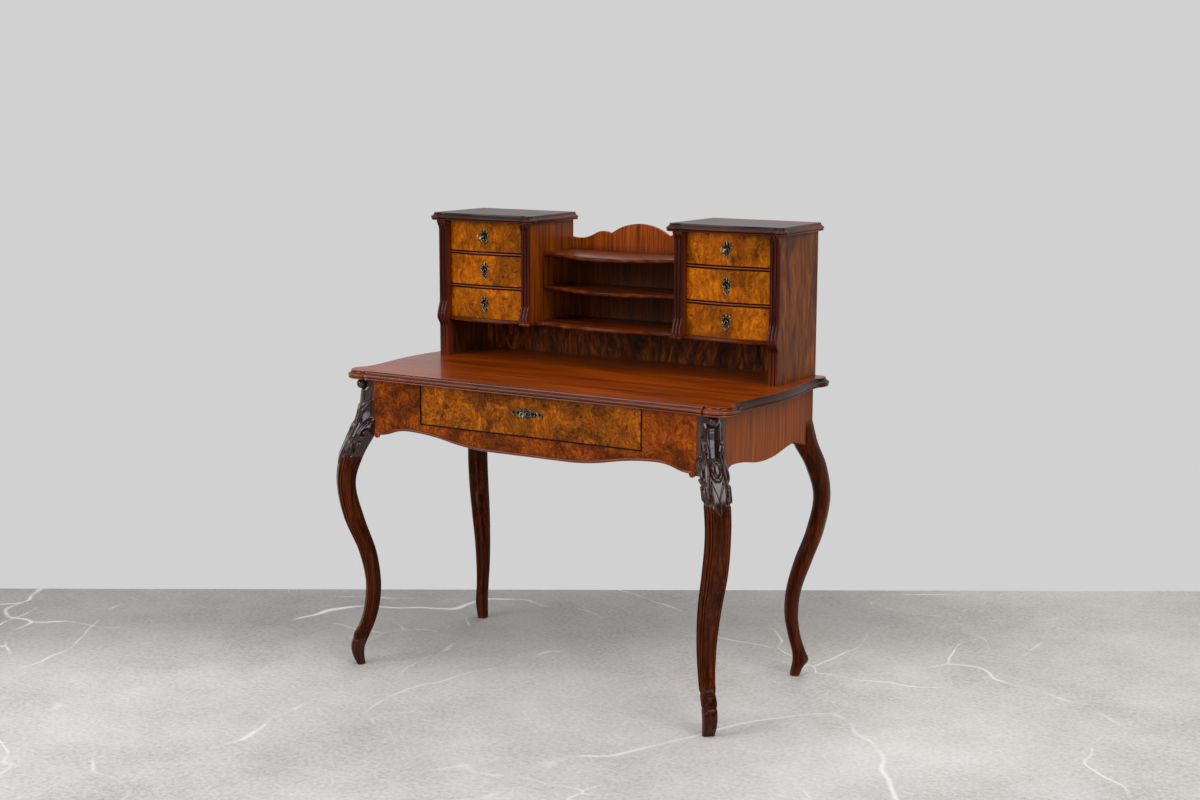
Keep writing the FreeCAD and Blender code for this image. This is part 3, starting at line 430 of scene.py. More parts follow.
lamps = {  # place and aim in metres, size in metres, power in watts
    "key": {"place": (-2.4, -3.6, 3.0), "aim": (0, 0, 0.7), "size": 2.4, "power": 94, "colour": "#f6f9ff"},
    "window": {"place": (2.3, -5.2, 1.8), "aim": (0.3, -0.2, 0.68), "size": 2.0, "power": 62, "colour": "#dfe9ff"},
    "fill": {"place": (3.4, -1.35, 3.5), "aim": (0, 0, 0.7), "size": 2.2, "power": 68, "colour": "#fffdf9"},
    "overhead": {"place": (0.2, -0.4, 4.2), "aim": (0, 0, 0.7), "size": 3.0, "power": 42, "colour": "#fffdf9"},
    "behind": {"place": (-0.6, 2.9, 4.4), "aim": (0, 0, 0.7), "size": 2.4, "power": 60, "colour": "#fffdf9"},
}


def makeLamps():
    for name, lamp in lamps.items():
        data = bpy.data.lights.new(name, "AREA")
        data.shape, data.size, data.energy = "SQUARE", lamp["size"], lamp["power"]
        data.color = linear(lamp["colour"])[:3]
        light = bpy.data.objects.new(name, data)
        towards = Vector(lamp["aim"]) - Vector(lamp["place"])
        turn = towards.to_track_quat("-Z", "Y").to_matrix().to_4x4()
        light.matrix_world = Matrix.Translation(lamp["place"]) @ turn
        scene.collection.objects.link(light)


makeCamera()
makeFloor()
makeBackdrop()
makeLamps()
print("studio ready")


# finishes

def polishedWood(name, streak, cloud, colours, rough, grain=2, coat=(0.0, 0.1), gloss=0.1, bump=0.12,
                 wander=0.012, curl=0.0, cloudCurl=0.6, recessShade=None, wearAndPaintedLight=None):
    # walnut timber, planed and polished: long streaks, slow clouds and open pores that run with the grain
    tree, place = newMaterial(name)
    bent = bentBy(tree, place, noiseOf(tree, place, 5.0, 1.5), [wander] * 3)

    def stretched(alongMm, acrossMm):  # one unit of the pattern is this long and this wide
        scale = [perMetre / acrossMm] * 3
        scale[grain] = perMetre / alongMm
        return addNode(tree, "Mapping", {"Scale": scale}, {"Vector": bent})

    streaks = noiseOf(tree, stretched(*streak), 1.0, 5.0, 0.6, curl)
    pores = noiseOf(tree, stretched(60, 1.6), 1.0, 2.0)  # real pores are 0.2 mm wide, drawn as 1.6
    clouds = noiseOf(tree, stretched(*cloud[:2]), 1.0, 3.0, 0.55, cloudCurl)
    figure = addNode(tree, "Math", {"operation": "MULTIPLY", 1: 0.72}, {0: streaks})
    figure = addNode(tree, "Math", {"operation": "MULTIPLY_ADD", 1: 0.28}, {0: pores, 2: figure})
    dark, middle, light = colours.split()
    colour = rampOf(tree, figure, (0.34, dark), (0.66, light), (0.5, middle))
    colour = darkened(tree, colour, rampOf(tree, clouds, (0.36, cloud[2]), (0.62, 1.0)))
    if recessShade:  # painted shade behind the shelves: heights where it fades, shade below and above
        height = addNode(tree, "SeparateXYZ", {}, {0: place}).outputs["Z"]
        colour = darkened(tree, colour, rangeOf(tree, height, *recessShade))
    if wearAndPaintedLight:  # polish rubbed thin on the arrises and dark wax in the hollows, which also stand for a painted highlight on the arrises and painted shade in the hollows
        edge = addNode(tree, "NewGeometry").outputs["Pointiness"]
        colour = darkened(tree, colour, rampOf(tree, edge, (0.40, 0.25), (0.485, 1.0)))
        colour = painted(tree, colour, wearAndPaintedLight[1], rampOf(tree, edge, (0.515, 0.0), (0.60, wearAndPaintedLight[0])))
    sources = {"Base Color": colour, "Roughness": rangeOf(tree, clouds, 0.0, 1.0, *rough),
               "Normal": reliefOf(tree, figure, bump, 0.0004)}
    setShader(tree, sources, {"Coat Weight": coat[0], "Coat Roughness": coat[1], "Specular IOR Level": gloss,
                              "IOR": 1.45})


def burrVeneer(name, tone):
    # burr walnut veneer under french polish: crumbled golden figure, slow dark clouds and scattered pin knots
    tree, place = newMaterial(name)
    place = addNode(tree, "Mapping", {"Location": tone["shift"]}, {"Vector": place})
    swirl, crumb, streak, knot, cloud = [perMetre / mm for mm in tone["sizesMm"]]
    bent = bentBy(tree, place, noiseOf(tree, place, swirl, 2.0, 0.5, 0.4), [0.9 / swirl] * 3)
    crumbs = noiseOf(tree, bent, crumb, 5.0, 0.68, 1.6)
    upright = addNode(tree, "Mapping", {"Scale": (1, 1, 0.28)}, {"Vector": bent})
    streaks = noiseOf(tree, upright, streak, 4.0, 0.6, 0.5)
    knots = addNode(tree, "TexVoronoi", {"Scale": knot, "Randomness": 1.0}, {"Vector": bent})
    clouds = noiseOf(tree, place, cloud, 3.0, 0.55, 0.9)
    figure = addNode(tree, "Mix", {"data_type": "FLOAT", 0: tone["streaks"]}, {2: crumbs, 3: streaks})
    dark, middle, light = tone["colours"].split()
    colour = rampOf(tree, figure, (0.34, dark), (0.66, light), (0.5, middle))
    colour = darkened(tree, colour, rampOf(tree, clouds, (0.36, tone["cloudShade"]), (0.58, 1.0)))
    colour = painted(tree, colour, tone["knot"], rampOf(tree, knots, (0.05, 0.8), (0.13, 0.0)))
    sources = {"Base Color": colour, "Roughness": rangeOf(tree, crumbs, 0.0, 1.0, 0.32, 0.48),
               "Normal": reliefOf(tree, figure, 0.06, 0.0004)}
    setShader(tree, sources, {"Coat Weight": 0.06, "Coat Roughness": 0.08, "Specular IOR Level": 0.08, "IOR": 1.45})


def castMetal(name, patchMm, colours, rough):
    # a small casting or forging: tarnished in its hollows, brighter where fingers rub it
    tree, place = newMaterial(name)
    patches = noiseOf(tree, place, perMetre / patchMm, 5.0)
    dark, light = colours.split()
    sources = {"Base Color": rampOf(tree, patches, (0.35, dark), (0.68, light)),
               "Roughness": rangeOf(tree, patches, 0.0, 1.0, *rough), "Normal": reliefOf(tree, patches, 0.25, 0.0003)}
    setShader(tree, sources, {"Metallic": 1.0})


# grain is the axis that it runs along; streak and cloud are length and width in millimetres, then the clouds' shade
woods = {
    # french-polished walnut, straight grain along the desk: deep red-brown under a mirror coat
    "deskTopPolish": {"grain": 0, "streak": (420, 13), "cloud": (520, 90, 0.62), "colours": "#561b02 #8f3a05 #b0520c",
                      "rough": (0.3, 0.42), "coat": (0.3, 0.035), "bump": 0.04, "wander": 0.02},
    # mouldings and stiles are stained nearly black and polished; the red of the walnut shows where they are rubbed, and
    # also serves as a painted highlight on their arrises
    "mouldingPolish": {"grain": 0, "streak": (260, 8), "cloud": (300, 60, 0.7), "colours": "#2a0d05 #571f08 #883c12",
                       "rough": (0.22, 0.34), "coat": (0.4, 0.07), "wearAndPaintedLight": (0.75, "#c2662a")},
    # also used as painted shade on the desk top's moulding at its ends
    "cornicePolish": {"grain": 0, "streak": (260, 8), "cloud": (300, 60, 0.7), "colours": "#120603 #2b1008 #4b200e",
                      "rough": (0.3, 0.44), "coat": (0.16, 0.16), "gloss": 0.15, "wearAndPaintedLight": (0.6, "#8a3f1a")},
    "stilePolish": {"streak": (200, 6), "cloud": (200, 40, 0.7), "colours": "#1c0703 #3a1208 #5e220e",
                    "rough": (0.22, 0.34), "coat": (0.25, 0.06), "wearAndPaintedLight": (0.6, "#8a3b18")},
    "legPolish": {"streak": (240, 9), "cloud": (260, 50, 0.6), "colours": "#190803 #391505 #66290b",
                  "rough": (0.24, 0.38), "coat": (0.06, 0.08), "gloss": 0.04, "wearAndPaintedLight": (0.75, "#a8501c")},
    # the flat between the reeds of a leg, where the stain was rubbed off
    "legPanelPolish": {"streak": (240, 9), "cloud": (260, 50, 0.6), "colours": "#230c03 #431906 #6c2e0c",
                       "rough": (0.24, 0.38), "coat": (0.08, 0.06), "gloss": 0.06, "wearAndPaintedLight": (0.4, "#b85a22")},
    "carvedPolish": {"streak": (160, 8), "cloud": (120, 50, 0.7), "colours": "#150603 #2c0f06 #471a0a",
                     "rough": (0.24, 0.36), "coat": (0.9, 0.14), "gloss": 0.3, "wearAndPaintedLight": (0.3, "#7a3e1e")},
    # quirks and drawer edging, stained black; the same black is painted shade on the lines beside the rail beads and
    # inside the keyholes
    "darkStain": {"streak": (200, 6), "cloud": (200, 40, 0.7), "colours": "#070302 #120604 #22100a",
                  "rough": (0.3, 0.44), "coat": (0.1, 0.1)},
    # side boards: quieter walnut with an upright figure
    "sidePanelPolish": {"streak": (150, 22), "cloud": (210, 70, 0.5), "colours": "#42200a #773c14 #9c5820",
                        "rough": (0.34, 0.48), "coat": (0.04, 0.15), "wander": 0.03, "curl": 1.3, "cloudCurl": 2.2},
    "sideApronPolish": {"streak": (300, 7), "cloud": (260, 60, 0.8), "colours": "#713410 #8f4617 #a85a22",
                        "rough": (0.36, 0.5), "coat": (0.03, 0.15)},
    "innerSidePolish": {"streak": (300, 10), "cloud": (220, 50, 0.75), "colours": "#4f2106 #823c0c #a35514",
                        "rough": (0.3, 0.44), "coat": (0.08, 0.1)},
    "galleryPolish": {"streak": (260, 6), "cloud": (200, 60, 0.8), "colours": "#5a2206 #8b3c0a #b05c1c",
                      # painted shade: the gallery board darker below 1.04 m, in the recess behind the shelves
                      "rough": (0.32, 0.46), "coat": (0.08, 0.1), "recessShade": (1.04, 1.07, 0.3, 1.0)},
    "shelfPolish": {"grain": 0, "streak": (300, 9), "cloud": (240, 50, 0.75), "colours": "#321004 #5e2407 #8a4414",
                    "rough": (0.26, 0.4), "coat": (0.15, 0.08)},
    # the back panel under the gallery: dark crotch walnut, flames that fan upwards
    "flamePolish": {"streak": (120, 26), "cloud": (150, 60, 0.35), "colours": "#200a02 #713208 #b86018",
                    "rough": (0.3, 0.44), "coat": (0.1, 0.1), "wander": 0.08, "curl": 1.8, "cloudCurl": 2.4},
    # waxed, not polished: plain walnut boards nobody looks at
    "backBoardWax": {"streak": (300, 12), "cloud": (260, 60, 0.75), "colours": "#3a1c0c #5f351a #7d4d2a",
                     "rough": (0.5, 0.65), "bump": 0.25},
}
liningTone = {"streak": (320, 14), "cloud": (300, 70, 0.85), "colours": "#8a5f34 #ac8050 #c39a68",
              "rough": (0.55, 0.7), "bump": 0.25}  # waxed pine, pale and dry, with a soft sheen
woods.update({"drawerLining": {"grain": 1, **liningTone}, "drawerLiningWide": {"grain": 0, **liningTone}})
for name, tone in woods.items():
    polishedWood(name, **tone)

burrTone = {"sizesMm": (70, 13, 11, 34, 95), "knot": "#2a1002"}  # swirl, crumbs, streaks, knots and clouds
frontTone = {**burrTone, "streaks": 0.3, "cloudShade": 0.42}
rowTone = {**burrTone, "streaks": 0.5, "cloudShade": 0.5, "colours": "#6c3302 #ad5802 #d88208"}
burrVeneer("longDrawerBurr", {**frontTone, "colours": "#452102 #964a03 #cc7a0a", "shift": (0.3, 0, 0.2)})
burrVeneer("apronBurr", {**frontTone, "colours": "#3e1902 #873903 #be600a", "shift": (1.1, 0, 0.6)})
for i, row in enumerate(("lower", "middle", "upper")):
    burrVeneer("smallDrawerBurr_" + row, {**rowTone, "shift": (0.71 * i + 0.2, 0, 1.3 * i)})

metals = {
    "rubbedBrass": {"patchMm": 4, "colours": "#4a4030 #b9ac90", "rough": (0.3, 0.46)},  # cast scrolls, rubbed pale
    "tarnishedBrass": {"patchMm": 5, "colours": "#15100a #3a3022", "rough": (0.5, 0.7)},  # their ground, nearly black: tarnish, and painted shade where the openings of fretwork would be dark
    "keySteel": {"patchMm": 14, "colours": "#8d8a84 #c9c6bf", "rough": (0.2, 0.36)},  # forged and polished
    "lockBrass": {"patchMm": 16, "colours": "#7a5c26 #b08c4a", "rough": (0.36, 0.5)},  # sawn plate, tarnished
}
for name, tone in metals.items():
    castMetal(name, **tone)
print("finishes ready")

frontFace = low("apron_front").y  # millimetres, like every size below


# desk top: one board in its planted moulding, with a round ear at each corner

deskTop = {
    "neck": 541.0, "bulge": 17.0, "front": low("desk_top_moulding").y, "back": high("desk_top_moulding").y,
    "top": high("desk_top").z, "ear": 48.0,
    "frontEar": (508.0, frontFace + 25.0), "backEar": (503.0, frontFace + 514.0),
    "mitre": 3.6, "mitreGone": 30.0, "notch": (1.2, 2.4), "dip": [(16, 0), (7, 0.8), (2.2, 1.6)], "endFrom": 511.0,
    "steps": {"frontEar": 24, "backEar": 22, "side": 9}, "smooth": 32,
    # edge from the writing surface down, as (set in, depth): arris, cove, roll, quirk and lower lip
    "edge": [(12, 0), (9.6, 0), (9.0, 0.5), (8.8, 1.5), (8.5, 3.4), (7.7, 5.3), (6.4, 6.8), (4.9, 7.7), (4.7, 8.6),
             (3.4, 8.9), (1.7, 9.6), (0.6, 11.0), (0.2, 12.8), (0.5, 14.6), (1.4, 16.1), (2.6, 16.9), (2.8, 17.8),
             (1.8, 18.2), (1.2, 19.2), (1.7, 20.6), (3.2, 21.6), (5.8, 22), (16, 22)],
}
boltPit = {"gap": 0.6, "deep": 8.0}


def topOutline(inset):
    radius, neck = deskTop["ear"] - inset, deskTop["neck"] - inset
    front, back = deskTop["front"] + inset, deskTop["back"]
    (frontX, frontY), (backX, backY) = deskTop["frontEar"], deskTop["backEar"]
    meetFront = frontX - math.sqrt(radius ** 2 - (front - frontY) ** 2)
    meetBack = backX + math.sqrt(max(radius ** 2 - (back - backY) ** 2, 0.01))
    frontNotch = frontY + math.sqrt(radius ** 2 - (neck - frontX) ** 2)
    backNotch = backY - math.sqrt(radius ** 2 - (neck - backX) ** 2)
    # a small mitred break where each ear meets the straight edge
    cut = deskTop["mitre"] * (1 - inset / deskTop["mitreGone"])
    tip, (out, past), steps = radius * math.sqrt(0.5), deskTop["notch"], deskTop["steps"]
    bulge = (neck + deskTop["bulge"], (frontNotch + backNotch) / 2)
    right = ([(meetFront - x, front - y) for x, y in deskTop["dip"]] + [(meetFront, front + cut)]
             + arcPoints((meetFront, front), (frontX + tip, frontY - tip), (neck, frontNotch), steps["frontEar"])[1:]
             + [(neck - cut, frontNotch), (neck + out, frontNotch + past)]
             + swellPoints((neck, frontNotch), bulge, (neck, backNotch), (0, 1), steps["side"])[1:]
             + [(neck + out, backNotch - past), (neck - cut, backNotch)]
             + arcPoints((neck, backNotch), (backX + radius, backY), (meetBack, back), steps["backEar"])[1:]
             + [(meetBack, back)])
    return right + [(-x, y) for x, y in reversed(right)]


def mortise(bm, bolt):  # cuts the pit a bolt is thrown into, in the underside of the board above it
    gap = Vector([boltPit["gap"]] * 3)
    (x0, y0, _), (x1, y1, _) = low(bolt) - gap, high(bolt) + gap
    under = max(bm.faces, key=lambda face: (-round(face.calc_center_median().z, 2), len(face.verts)))
    z = under.verts[0].co.z
    loops = []
    for level in (z, z + boltPit["deep"]):
        ring = [bm.verts.new((x, y, level)) for x, y in ((x0, y0), (x1, y0), (x1, y1), (x0, y1))]
        loops.append([bm.edges.new(pair) for pair in zip(ring, ring[1:] + ring[:1])])
    rim = list(under.edges)
    bmesh.ops.delete(bm, geom=[under], context="FACES_ONLY")
    bmesh.ops.triangle_fill(bm, use_beauty=True, edges=rim + loops[0], normal=(0, 0, -1))
    bmesh.ops.bridge_loops(bm, edges=loops[0] + loops[1])
    bmesh.ops.contextual_create(bm, geom=loops[1])
    bmesh.ops.recalc_face_normals(bm, faces=bm.faces)


def makeDeskTop():
    bm = layUp([[(x, y, deskTop["top"] - depth) for x, y in topOutline(inset)] for inset, depth in deskTop["edge"]])
    mortise(bm, "desk_drawer_bolt")
    finishes = "deskTopPolish mouldingPolish cornicePolish"
    piece = newPiece("deskTop", bm, finishes, ["desk_top", "desk_top_moulding"], deskTop["smooth"])
    endX, endY = deskTop["endFrom"] / perMetre, deskTop["frontEar"][1] / perMetre

    def pick(face):  # painted shade: the moulding at the ends, turned away from the light, takes the darker cornice finish
        x, y, _ = face.center
        return 0 if face.normal.z > 0.999 else 2 if abs(x) > endX and y > endY else 1

    chooseFinish(piece, pick)
    print("desk top laid")


# cornices: a bowed front between two round ears

cornice = {
    "left": low("cabinet_top_right").x, "right": high("cabinet_top_right").x, "back": high("cabinet_top_right").y,
    "top": high("cabinet_top_right").z, "front": frontFace + 318.0, "bow": 8.0, "bowSteps": 26,
    "ear": 20.0, "earInset": 14.0, "earSteps": 16, "smooth": 32,
    "edge": [(11.5, 0), (9.6, 0), (9.0, 0.5), (8.8, 1.6), (8.5, 3.4), (7.7, 5.1), (6.4, 6.5), (4.9, 7.4), (4.7, 8.3),
             (3.4, 8.6), (1.7, 9.2), (0.6, 10.4), (0.2, 12.0), (0.5, 13.6), (1.4, 14.9), (2.6, 15.6), (2.8, 16.3),
             (1.8, 16.7), (1.3, 17.6), (1.8, 18.8), (3.2, 19.7), (5.8, 20), (11.5, 20)],
}


def corniceOutline(inset):
    left, right = cornice["left"] + inset, cornice["right"] - inset
    front, radius, setBack = cornice["front"] + inset, cornice["ear"] - inset, cornice["earInset"] - inset
    sweep, steps = math.pi / 2 + 2 * math.asin(setBack / radius), cornice["earSteps"]
    angles = [sweep * (i / steps - 0.5) - math.pi / 4 for i in range(steps + 1)]
    corner = [(radius * math.cos(a), front + setBack + radius * math.sin(a)) for a in angles]
    leftEar = [(left + setBack - x, y) for x, y in corner[::-1]]
    rightEar = [(right - setBack + x, y) for x, y in corner]
    start, end, steps = leftEar[-1][0], rightEar[0][0], cornice["bowSteps"]
    bow = [(start + (end - start) * i / steps, front - cornice["bow"] * math.sin(math.pi * i / steps) ** 2)
           for i in range(1, steps)]
    return leftEar + bow + rightEar + [(right, cornice["back"]), (left, cornice["back"])]


def makeCornices():
    rings = [[(x, y, cornice["top"] - depth) for x, y in corniceOutline(inset)] for inset, depth in cornice["edge"]]
    for side in ("right", "left"):
        bm = layUp(rings)
        bm = bm if side == "right" else flipped(bm)
        mortise(bm, "drawer_upper_" + side + "_bolt")
        newPiece("cornice_" + side, bm, "cornicePolish", ["cabinet_top_" + side], cornice["smooth"])
    print("cornices laid")


# reeded stiles: they curl forwards under the cornice and again at the foot

stile = {"width": 27.0, "reeds": 3, "groove": 1.0, "depth": 3.5, "straight": 7.0, "topFlare": 17.0, "footFlare": 19.0,
         "topHeight": 26.0, "footHeight": 47.0, "tuckHeight": 26.0,
         "steps": 14, "fullness": 0.8}


def makeStiles():
    front, top, middle = low("side_outer_right").y, high("stile_outer_right").z, low("stile_inner_right").z
    width, straight, flare = stile["width"], stile["straight"], stile["footFlare"]
    reed = (width - (stile["reeds"] - 1) * stile["groove"]) / stile["reeds"]
    face = []
    for i in range(stile["reeds"]):
        start = i * (reed + stile["groove"])
        face += [(start + reed / 2 * (1 - math.cos(a)), stile["depth"] * (1 - math.sin(a) ** stile["fullness"]))
                 for a in circle(16)[:9]]
    for kind in ("outer", "inner"):
        bends = [(top, stile["topFlare"], top - stile["topHeight"], straight),
                 (middle + stile["footHeight"], straight, middle, flare)]
        if kind == "outer":
            bends.append((middle, flare, middle - stile["tuckHeight"], straight))
        path = []
        for zStart, start, zEnd, end in bends:
            for i in range(stile["steps"] + 1):
                share = i / stile["steps"]
                blend = (1 - math.cos(math.pi * share)) / 2
                point = (zStart + (zEnd - zStart) * share, start + (end - start) * blend)
                if point not in path:
                    path.append(point)
        if kind == "outer":
            path.append((low("stile_outer_right").z, straight))
        x0 = low("stile_" + kind + "_right").x
        bm = layUp([[(x0 + x, front - forwards + back, z) for x, back in face]
                    + [(x0 + width, front, z), (x0, front, z)] for z, forwards in path])
        newPair("stile_" + kind + "_*_reeds", bm, "stilePolish", "stile_" + kind + "_*", 50)
    print("stiles reeded")


# boards with a worked front edge

middleBoard = {
    "bowY": frontFace + 353.0, "bow": 25.0, "earIn": 209.4, "earOut": 241.4, "earY": frontFace + 316.0, "earRound": 6.0,
    "noseY": frontFace + 339.0, "smallBow": 12.0, "drawerRight": 476.7, "lipY": frontFace + 357.7, "wide": 489.7,
    "back": frontFace + 530.0, "steps": {"bow": 12, "ear": 10, "nose": 20},
    "edge": [(3.4, 0.0), (1.5, 0.06), (0.5, 0.18), (0.0, 0.36), (0.0, 0.5), (0.3, 0.64), (1.3, 0.74), (1.5, 0.80),
             (0.8, 0.86), (1.0, 0.94), (2.2, 1.0)],
}
rail = {
    "thick": 10.0, "guide": 9.0, "guideTall": 18.0, "ceiling": 1131.0, "bead": (0.24, 0.70), "setBack": 11.3, "steps": 22,
    "edge": [(4.0, 0.0), (3.4, 0.04), (3.4, 0.22), (1.4, 0.26), (0.3, 0.36), (0.0, 0.47), (0.3, 0.58), (1.4, 0.68),
             (3.4, 0.72), (3.4, 0.96), (4.0, 1.0)],
    "guideEdge": [(0.6, 0), (0, 0.04), (0, 0.94), (1.2, 1)],
}
shelves = {"lower": {"bow": 47.0, "steps": 12}, "upper": {"bow": 75.0, "steps": 12}}
bullnose = [(4.0, 0.0), (1.6, 0.06), (0.4, 0.2), (0.0, 0.42), (0.0, 0.58), (0.4, 0.8), (1.6, 0.94), (4.0, 1.0)]


def makeMiddleBoard():
    m = middleBoard
    inner, outer, right, steps = m["earIn"], m["earOut"], m["drawerRight"], m["steps"]
    earY, noseY = m["earY"] + m["earRound"], m["noseY"]
    half = (ogeePoints((0, m["bowY"] - m["bow"]), (inner, m["bowY"]), (1, 0), steps["bow"]) + [(inner, m["bowY"])]
            + arcPoints((inner, earY), ((inner + outer) / 2, m["earY"]), (outer, earY), steps["ear"]) + [(outer, earY)]
            + arcPoints((outer, noseY), ((outer + right) / 2, noseY - m["smallBow"]), (right, noseY), steps["nose"])
            + [(right, noseY), (right, m["lipY"]), (m["wide"], m["lipY"]), (m["wide"], m["back"])])
    outline = half + [(-x, y) for x, y in reversed(half[1:])]
    bm = board(outline, low("mid_board").z, high("mid_board").z, m["edge"])
    newPiece("middleBoard", bm, "shelfPolish", ["mid_board"], 40)


def makeShelves():
    for name, shelf in shelves.items():
        node = "shelf_" + name
        (x0, y0, z0), (x1, y1, z1) = low(node), high(node)
        side = y0 + shelf["bow"]
        outline = swellPoints((x0, side), (0, y0), (x1, side), (1, 0), shelf["steps"]) + [(x1, side), (x1, y1), (x0, y1)]
        newPiece(node + "_board", board(outline, z0, z1, bullnose), "shelfPolish", [node], 40)


def makeDustBoards():  # between the drawers, with the guides that keep each drawer box straight
    m, thick, lowest = middleBoard, rail["thick"], high("mid_board").z
    (x0, _, z0), (x1, y1, _) = low("drawer_rails_right"), high("drawer_rails_right")
    front = low("side_outer_right").y + rail["setBack"]
    left, right, lip = m["earOut"], m["drawerRight"], m["lipY"]
    outline = (arcPoints((left, front), ((left + right) / 2, front - m["smallBow"]), (right, front), rail["steps"])
               + [(right, front), (right, lip), (x1, lip), (x1, y1), (x0, y1), (x0, lip), (left, lip)])
    step = (rail["ceiling"] - lowest - 2 * thick) / 3
    shapes, floors = [], [z0]
    for level in (1, 2):
        bottom = lowest + level * step + (level - 1) * thick
        bm = board(outline, bottom, bottom + thick, rail["edge"])
        for face in bm.faces:  # pine boards; at the front a red bead between two lines painted black as shade
            share = (face.calc_center_median().z - bottom) / thick
            bead = rail["bead"][0] < share < rail["bead"][1]
            face.material_index = 2 if abs(face.normal.z) > 0.99 else 1 if bead else 0
        floors.append(max(v.co.z for v in bm.verts))
        shapes.append(bm)
    for floor in floors:
        for inner, outer in ((left - rail["guide"], left), (right, right + rail["guide"])):
            plan = [(inner, lip), (outer, lip), (outer, y1), (inner, y1)]
            shapes.append(tinted(board(plan, floor, floor + rail["guideTall"], rail["guideEdge"]), 2))
    finishes = "darkStain mouldingPolish drawerLiningWide"
    newPair("dustBoards_*", together(*shapes), finishes, "drawer_rails_*", 40)
    print("boards edged")


# bead along the lower edge of the front apron, ending in small turned scrolls

apronBead = {"end": 464.0, "crest": 362.0, "low": 110.0, "zEnd": 608.0, "zCrest": 626.0, "zLow": 600.0, "height": 7.0,
             "proud": 5.0, "scroll": 8.0, "lift": 0.5, "fullness": 0.8, "root": -0.8,
             "steps": {"flat": 4, "rise": 14, "fall": 6, "round": 16, "turn": 24},
             "rim": [(0.0, 6.4), (2.6, 6.3), (3.4, 5.2), (4.2, 5.2), (5.0, 6.0), (6.6, 5.9), (7.8, 4.6), (8.0, 2.5),
                     (8.0, 0.0)]}


def makeApronBead():
    b, steps = apronBead, apronBead["steps"]
    bottom, crest = (b["low"], b["zLow"]), (b["crest"], b["zCrest"])
    end = (b["end"] - b["scroll"], b["zEnd"] + b["lift"])
    half = ([(b["low"] * k / steps["flat"], b["zLow"]) for k in range(steps["flat"])]
            + ogeePoints(bottom, crest, (1, 0), steps["rise"]) + ogeePoints(crest, end, (1, 0), steps["fall"]) + [end])
    path = [(-x, z) for x, z in reversed(half[1:])] + half
    h, p = b["height"], b["proud"]
    angles = circle(steps["round"])[1:steps["round"] // 2]
    nose = [(p * math.sin(a) ** b["fullness"], h / 2 * (1 - math.cos(a))) for a in angles]
    section = [(0.0, b["root"]), (0.5, b["root"])] + nose + [(0.4, h), (0.0, h)]
    shapes = [layUp([[(x, frontFace - out, z + up) for out, up in section] for x, z in path])]
    for side in (-1, 1):
        place = (side * end[0], frontFace, b["zEnd"])
        shapes.append(lathe([(r, -out, 0) for r, out in b["rim"]], (0, 1, 0), steps["turn"], place))
    newPiece("apronBeading", together(*shapes), "mouldingPolish", ["apron_bead"], 40)
    print("apron bead planted")


# turned balls under the front ears: out is along x and y, collar and neck are in radii

balls = {"out": 5.0, "collar": [(0.62, 1.86), (0.72, 1.93)], "neck": 0.72, "steps": 32, "round": 14}


def makeBalls():
    (_, y0, z0), (x1, y1, z1) = low("ear_balls"), high("ear_balls")
    radius = (y1 - y0) / 2
    angles = circle(balls["steps"])[1:balls["round"]]
    line = [(0.0, 0, z0)] + [(radius * math.sin(a), 0, z0 + radius * (1 - math.cos(a))) for a in angles]
    line += [(radius * r, 0, z0 + radius * up) for r, up in balls["collar"]]
    line += [(radius * balls["neck"], 0, z1), (0.0, 0, z1)]
    place = (x1 - radius + balls["out"], (y0 + y1) / 2 - balls["out"], 0)
    shapes = [lathe(line, (0, 0, 1), balls["steps"], (side * place[0], place[1], 0)) for side in (-1, 1)]
    newPiece("turnedBalls", together(*shapes), "carvedPolish", ["ear_balls"], 50)
    print("balls turned")


# cabriole legs on the diagonals, the front ones carved at the knee

legs = {
    "frontPlace": (490.5, frontFace + 12.5), "backPlace": (488.3, frontFace + 496.1),
    # height, reach out along the diagonal, depth along it, width across it
    "front": [(0, 35, 22, 30), (22, 42, 30, 34), (48, 43, 36, 36), (78, 32, 40, 36), (120, 13, 37, 37), (170, 2, 38, 42),
              (225, 0, 39, 48), (300, 14, 46, 55), (390, 47, 53, 59), (480, 64, 48, 59), (550, 49, 60, 60),
              (625, 10, 66, 61), (700, -22, 48, 52)],
    "back": [(0, -2, 24, 28), (20, 4, 30, 32), (38, 13, 41, 34), (62, 8, 34, 34), (105, -5, 31, 34), (160, -14, 34, 38),
             (225, -9, 38, 43), (300, 15, 45, 50), (375, 44, 44, 54), (465, 61, 42, 55), (545, 43, 53, 54),
             (605, 14, 62, 55), (660, 0, 60, 58)],
    # the knee runs into the cant: height and shift
    "sideways": [(0, -4), (120, -3), (225, 0), (300, 1.4), (480, 3.4), (550, 4.6), (620, 5.66), (748, 5.66)],
    "post": 53.0, "half": 511.0, "rear": 524.0, "bottom": 604.0, "top": low("desk_top").z, "cant": 34.0,
    "backCant": 7.0, "behindCarving": 1.2, "columns": 64, "cantHalf": 24.04, "strip": 10.0, "reeds": 2,
    "cantDepth": -0.71,
    # heights over which the knee turns into a bracket, the reeds start and end, and the carving starts
    "bracketOn": (604, 680), "reedsOn": (96, 110), "reedsOff": (544, 556), "carvingOn": (520, 526),
    "besideOn": (640, 665), "kneeFrom": 600, "budBelow": 130, "lastSection": 747.0,
    # depth and half width of the hollow between the reeds; depth and fullness of the reeds beside the bracket
    "hollow": (-1.3, 0.33), "besideReeds": (-1.9, 0.7), "besideBelow": 0.5,
    # levels of the skin: those of the toe, then (start, step, count); back legs have even ones
    "toeLevels": [0, 3, 6, 10, 15, 20, 25, 30, 36, 42, 48, 54, 60],
    "levels": [(62, 2, 30), (122, 8, 47), (498, 1.5, 166)], "backLevels": 82, "backTop": 660,
    # carved all round above the first height, and from the tip upwards where the leaves start
    "allCarved": 550, "leafTip": 527, "leafSlope": 0.5, "leafHalf": 2.5, "flatShare": 0.3, "collar": 2,
    "veneer": {"face": 0.1, "short": 10, "deep": 1, "up": 2},
}
